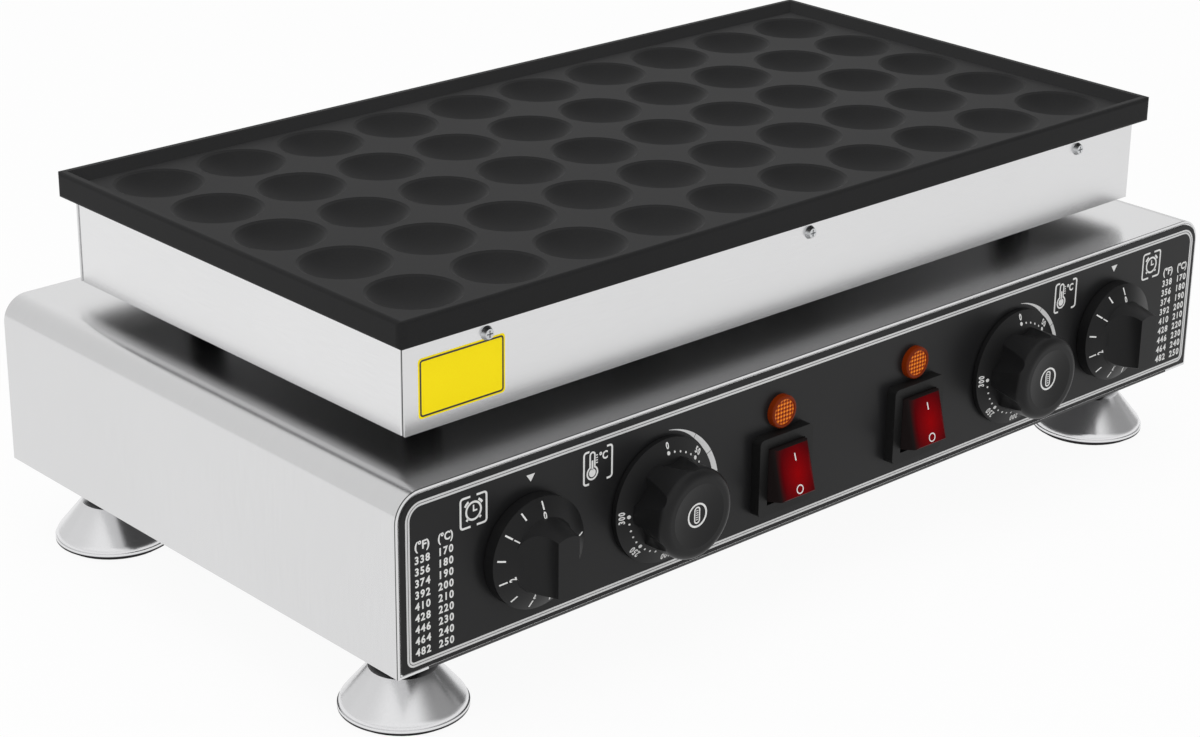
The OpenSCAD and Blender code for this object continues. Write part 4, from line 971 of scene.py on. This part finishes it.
# %% Lens shape
LENS_PROFILE = np.array([(0, 3.2), (6.95, 3.2), (7.05, 3.7), (7.3, 3.8), (7.75, 3.8), (8.25, 3.67),
                         (8.6, 3.35), (8.75, 2.8), (8.75, 0.0), (0, 0)])
# RIM_LEVEL is the rim's darker painted light on the stud ramp
LENS_FACE, LENS_FADE, RIM_LEVEL = 6.9, 0.6, -0.7
STUD_PITCH, STUD_HEIGHT = 3.0, 0.3


def stud(u, v):
    """cos(2 pi a / p) cos(2 pi b / p) on the face's two diagonals a and b, fading out at its edge."""
    a, b = (u + v) / math.sqrt(2), (u - v) / math.sqrt(2)
    fade = np.clip((LENS_FACE - np.hypot(u, v)) / LENS_FADE, 0, 1)
    return fade * np.cos(2 * np.pi * a / STUD_PITCH) * np.cos(2 * np.pi * b / STUD_PITCH)


def lens_grid(rows=64, cols=96):
    """Radius r and height h of the profile, read at even steps along its length and carried round
    the axis, plus the studs. The last ring closes the back in its middle."""
    steps = np.r_[0, np.cumsum(np.hypot(*np.diff(LENS_PROFILE, axis=0).T))]
    s = np.linspace(0, steps[-2], rows)
    r, h = (np.interp(s, steps[:-1], LENS_PROFILE[:-1, k]) for k in (0, 1))
    r, h = np.r_[r, 0.0], np.r_[h, 0.0]
    t = np.linspace(0, 2 * np.pi, cols, endpoint=False)
    u, v = r[:, None] * np.cos(t), r[:, None] * np.sin(t)
    height = h[:, None] + STUD_HEIGHT * stud(u, v) * (h > 0)[:, None]
    i, k = np.meshgrid(np.arange(len(r) - 1), np.arange(cols), indexing="ij")
    m = (k + 1) % cols
    faces = np.stack([i * cols + k, (i + 1) * cols + k, (i + 1) * cols + m, i * cols + m], -1)
    return u.ravel(), v.ravel(), height.ravel(), faces.reshape(-1, 4).tolist()


# %% Amber lenses
u, v, out, faces = lens_grid()
for side, s in SIDES:
    points = np.stack([s * LAMP[0] + u, FASCIA_Y - out, LAMP[1] + v], -1)
    lens_piece = piece("lens_" + side, points, faces, amber, "stand", smooth=True)
    places = np.array([tuple(corner.co) for corner in lens_piece.data.vertices]) * 1000
    across = places[:, [0, 2]] - [s * LAMP[0], LAMP[1]]
    # Painted light per corner: the stud wave on the face, and the darker rim level outside it
    painted_stud_light = np.where(np.hypot(*across.T) < LENS_FACE, stud(*across.T), RIM_LEVEL)
    lens_piece.data.attributes.new("stud", "FLOAT", "POINT").data.foreach_set("value", painted_stud_light)
    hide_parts("lamp_lens_" + side)

# %% [markdown]
# ## Label plate
# Near the front left corner the apron carries a small foil plate. It stays plain: yellow, with
# round corners and a thin dark line round its edge. The yellow foil also has a faint painted glow,
# though it is no lamp. Both are films like the prints. They are kept out of reflections, so the
# steel below them stays grey.

# %% Label plate
APRON_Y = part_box("apron_front")[0].y * 1000
PLATE_MIDDLE, PLATE_SIZE, PLATE_CORNER = (-231.0, BASE_Z + 124.5), (52.0, 30.0), 2.0
INSET, INSET_CORNER, INSET_LINE = 1.3, 1.4, 0.9
FOIL = 0.14

# Painted light: the yellow foil glows faintly through its emission, though it is no lamp
foil_yellow_painted_glow = grained("foil_yellow_painted_glow", (0.86, 0.7, 0.01), tint=0.04, size=0.6, rough=(0.35, 0.45),
                      relief=0.004, Specular_IOR_Level=0.06, Emission_Color=(0.85, 0.62, 0, 1),
                      Emission_Strength=0.25)
foil_line = grained("foil_line", (0.02, 0.02, 0.02), tint=0.2, size=0.4, rough=(0.4, 0.5), relief=0.003)
foil = put(patch(rounded(*PLATE_SIZE, PLATE_CORNER, PLATE_CORNER)), *PLATE_MIDDLE)
inner = [length - 2 * INSET for length in PLATE_SIZE]
edge = put(stroke(rounded(*inner, INSET_CORNER, INSET_CORNER), INSET_LINE, True), *PLATE_MIDDLE)
for name, mark, y, finish in (("label_plate", foil, APRON_Y - FOIL + FILM, foil_yellow_painted_glow),
                              ("label_line", edge, APRON_Y - FOIL, foil_line)):
    film_piece(name, [mark], upright(y), finish, "stand").visible_glossy = False
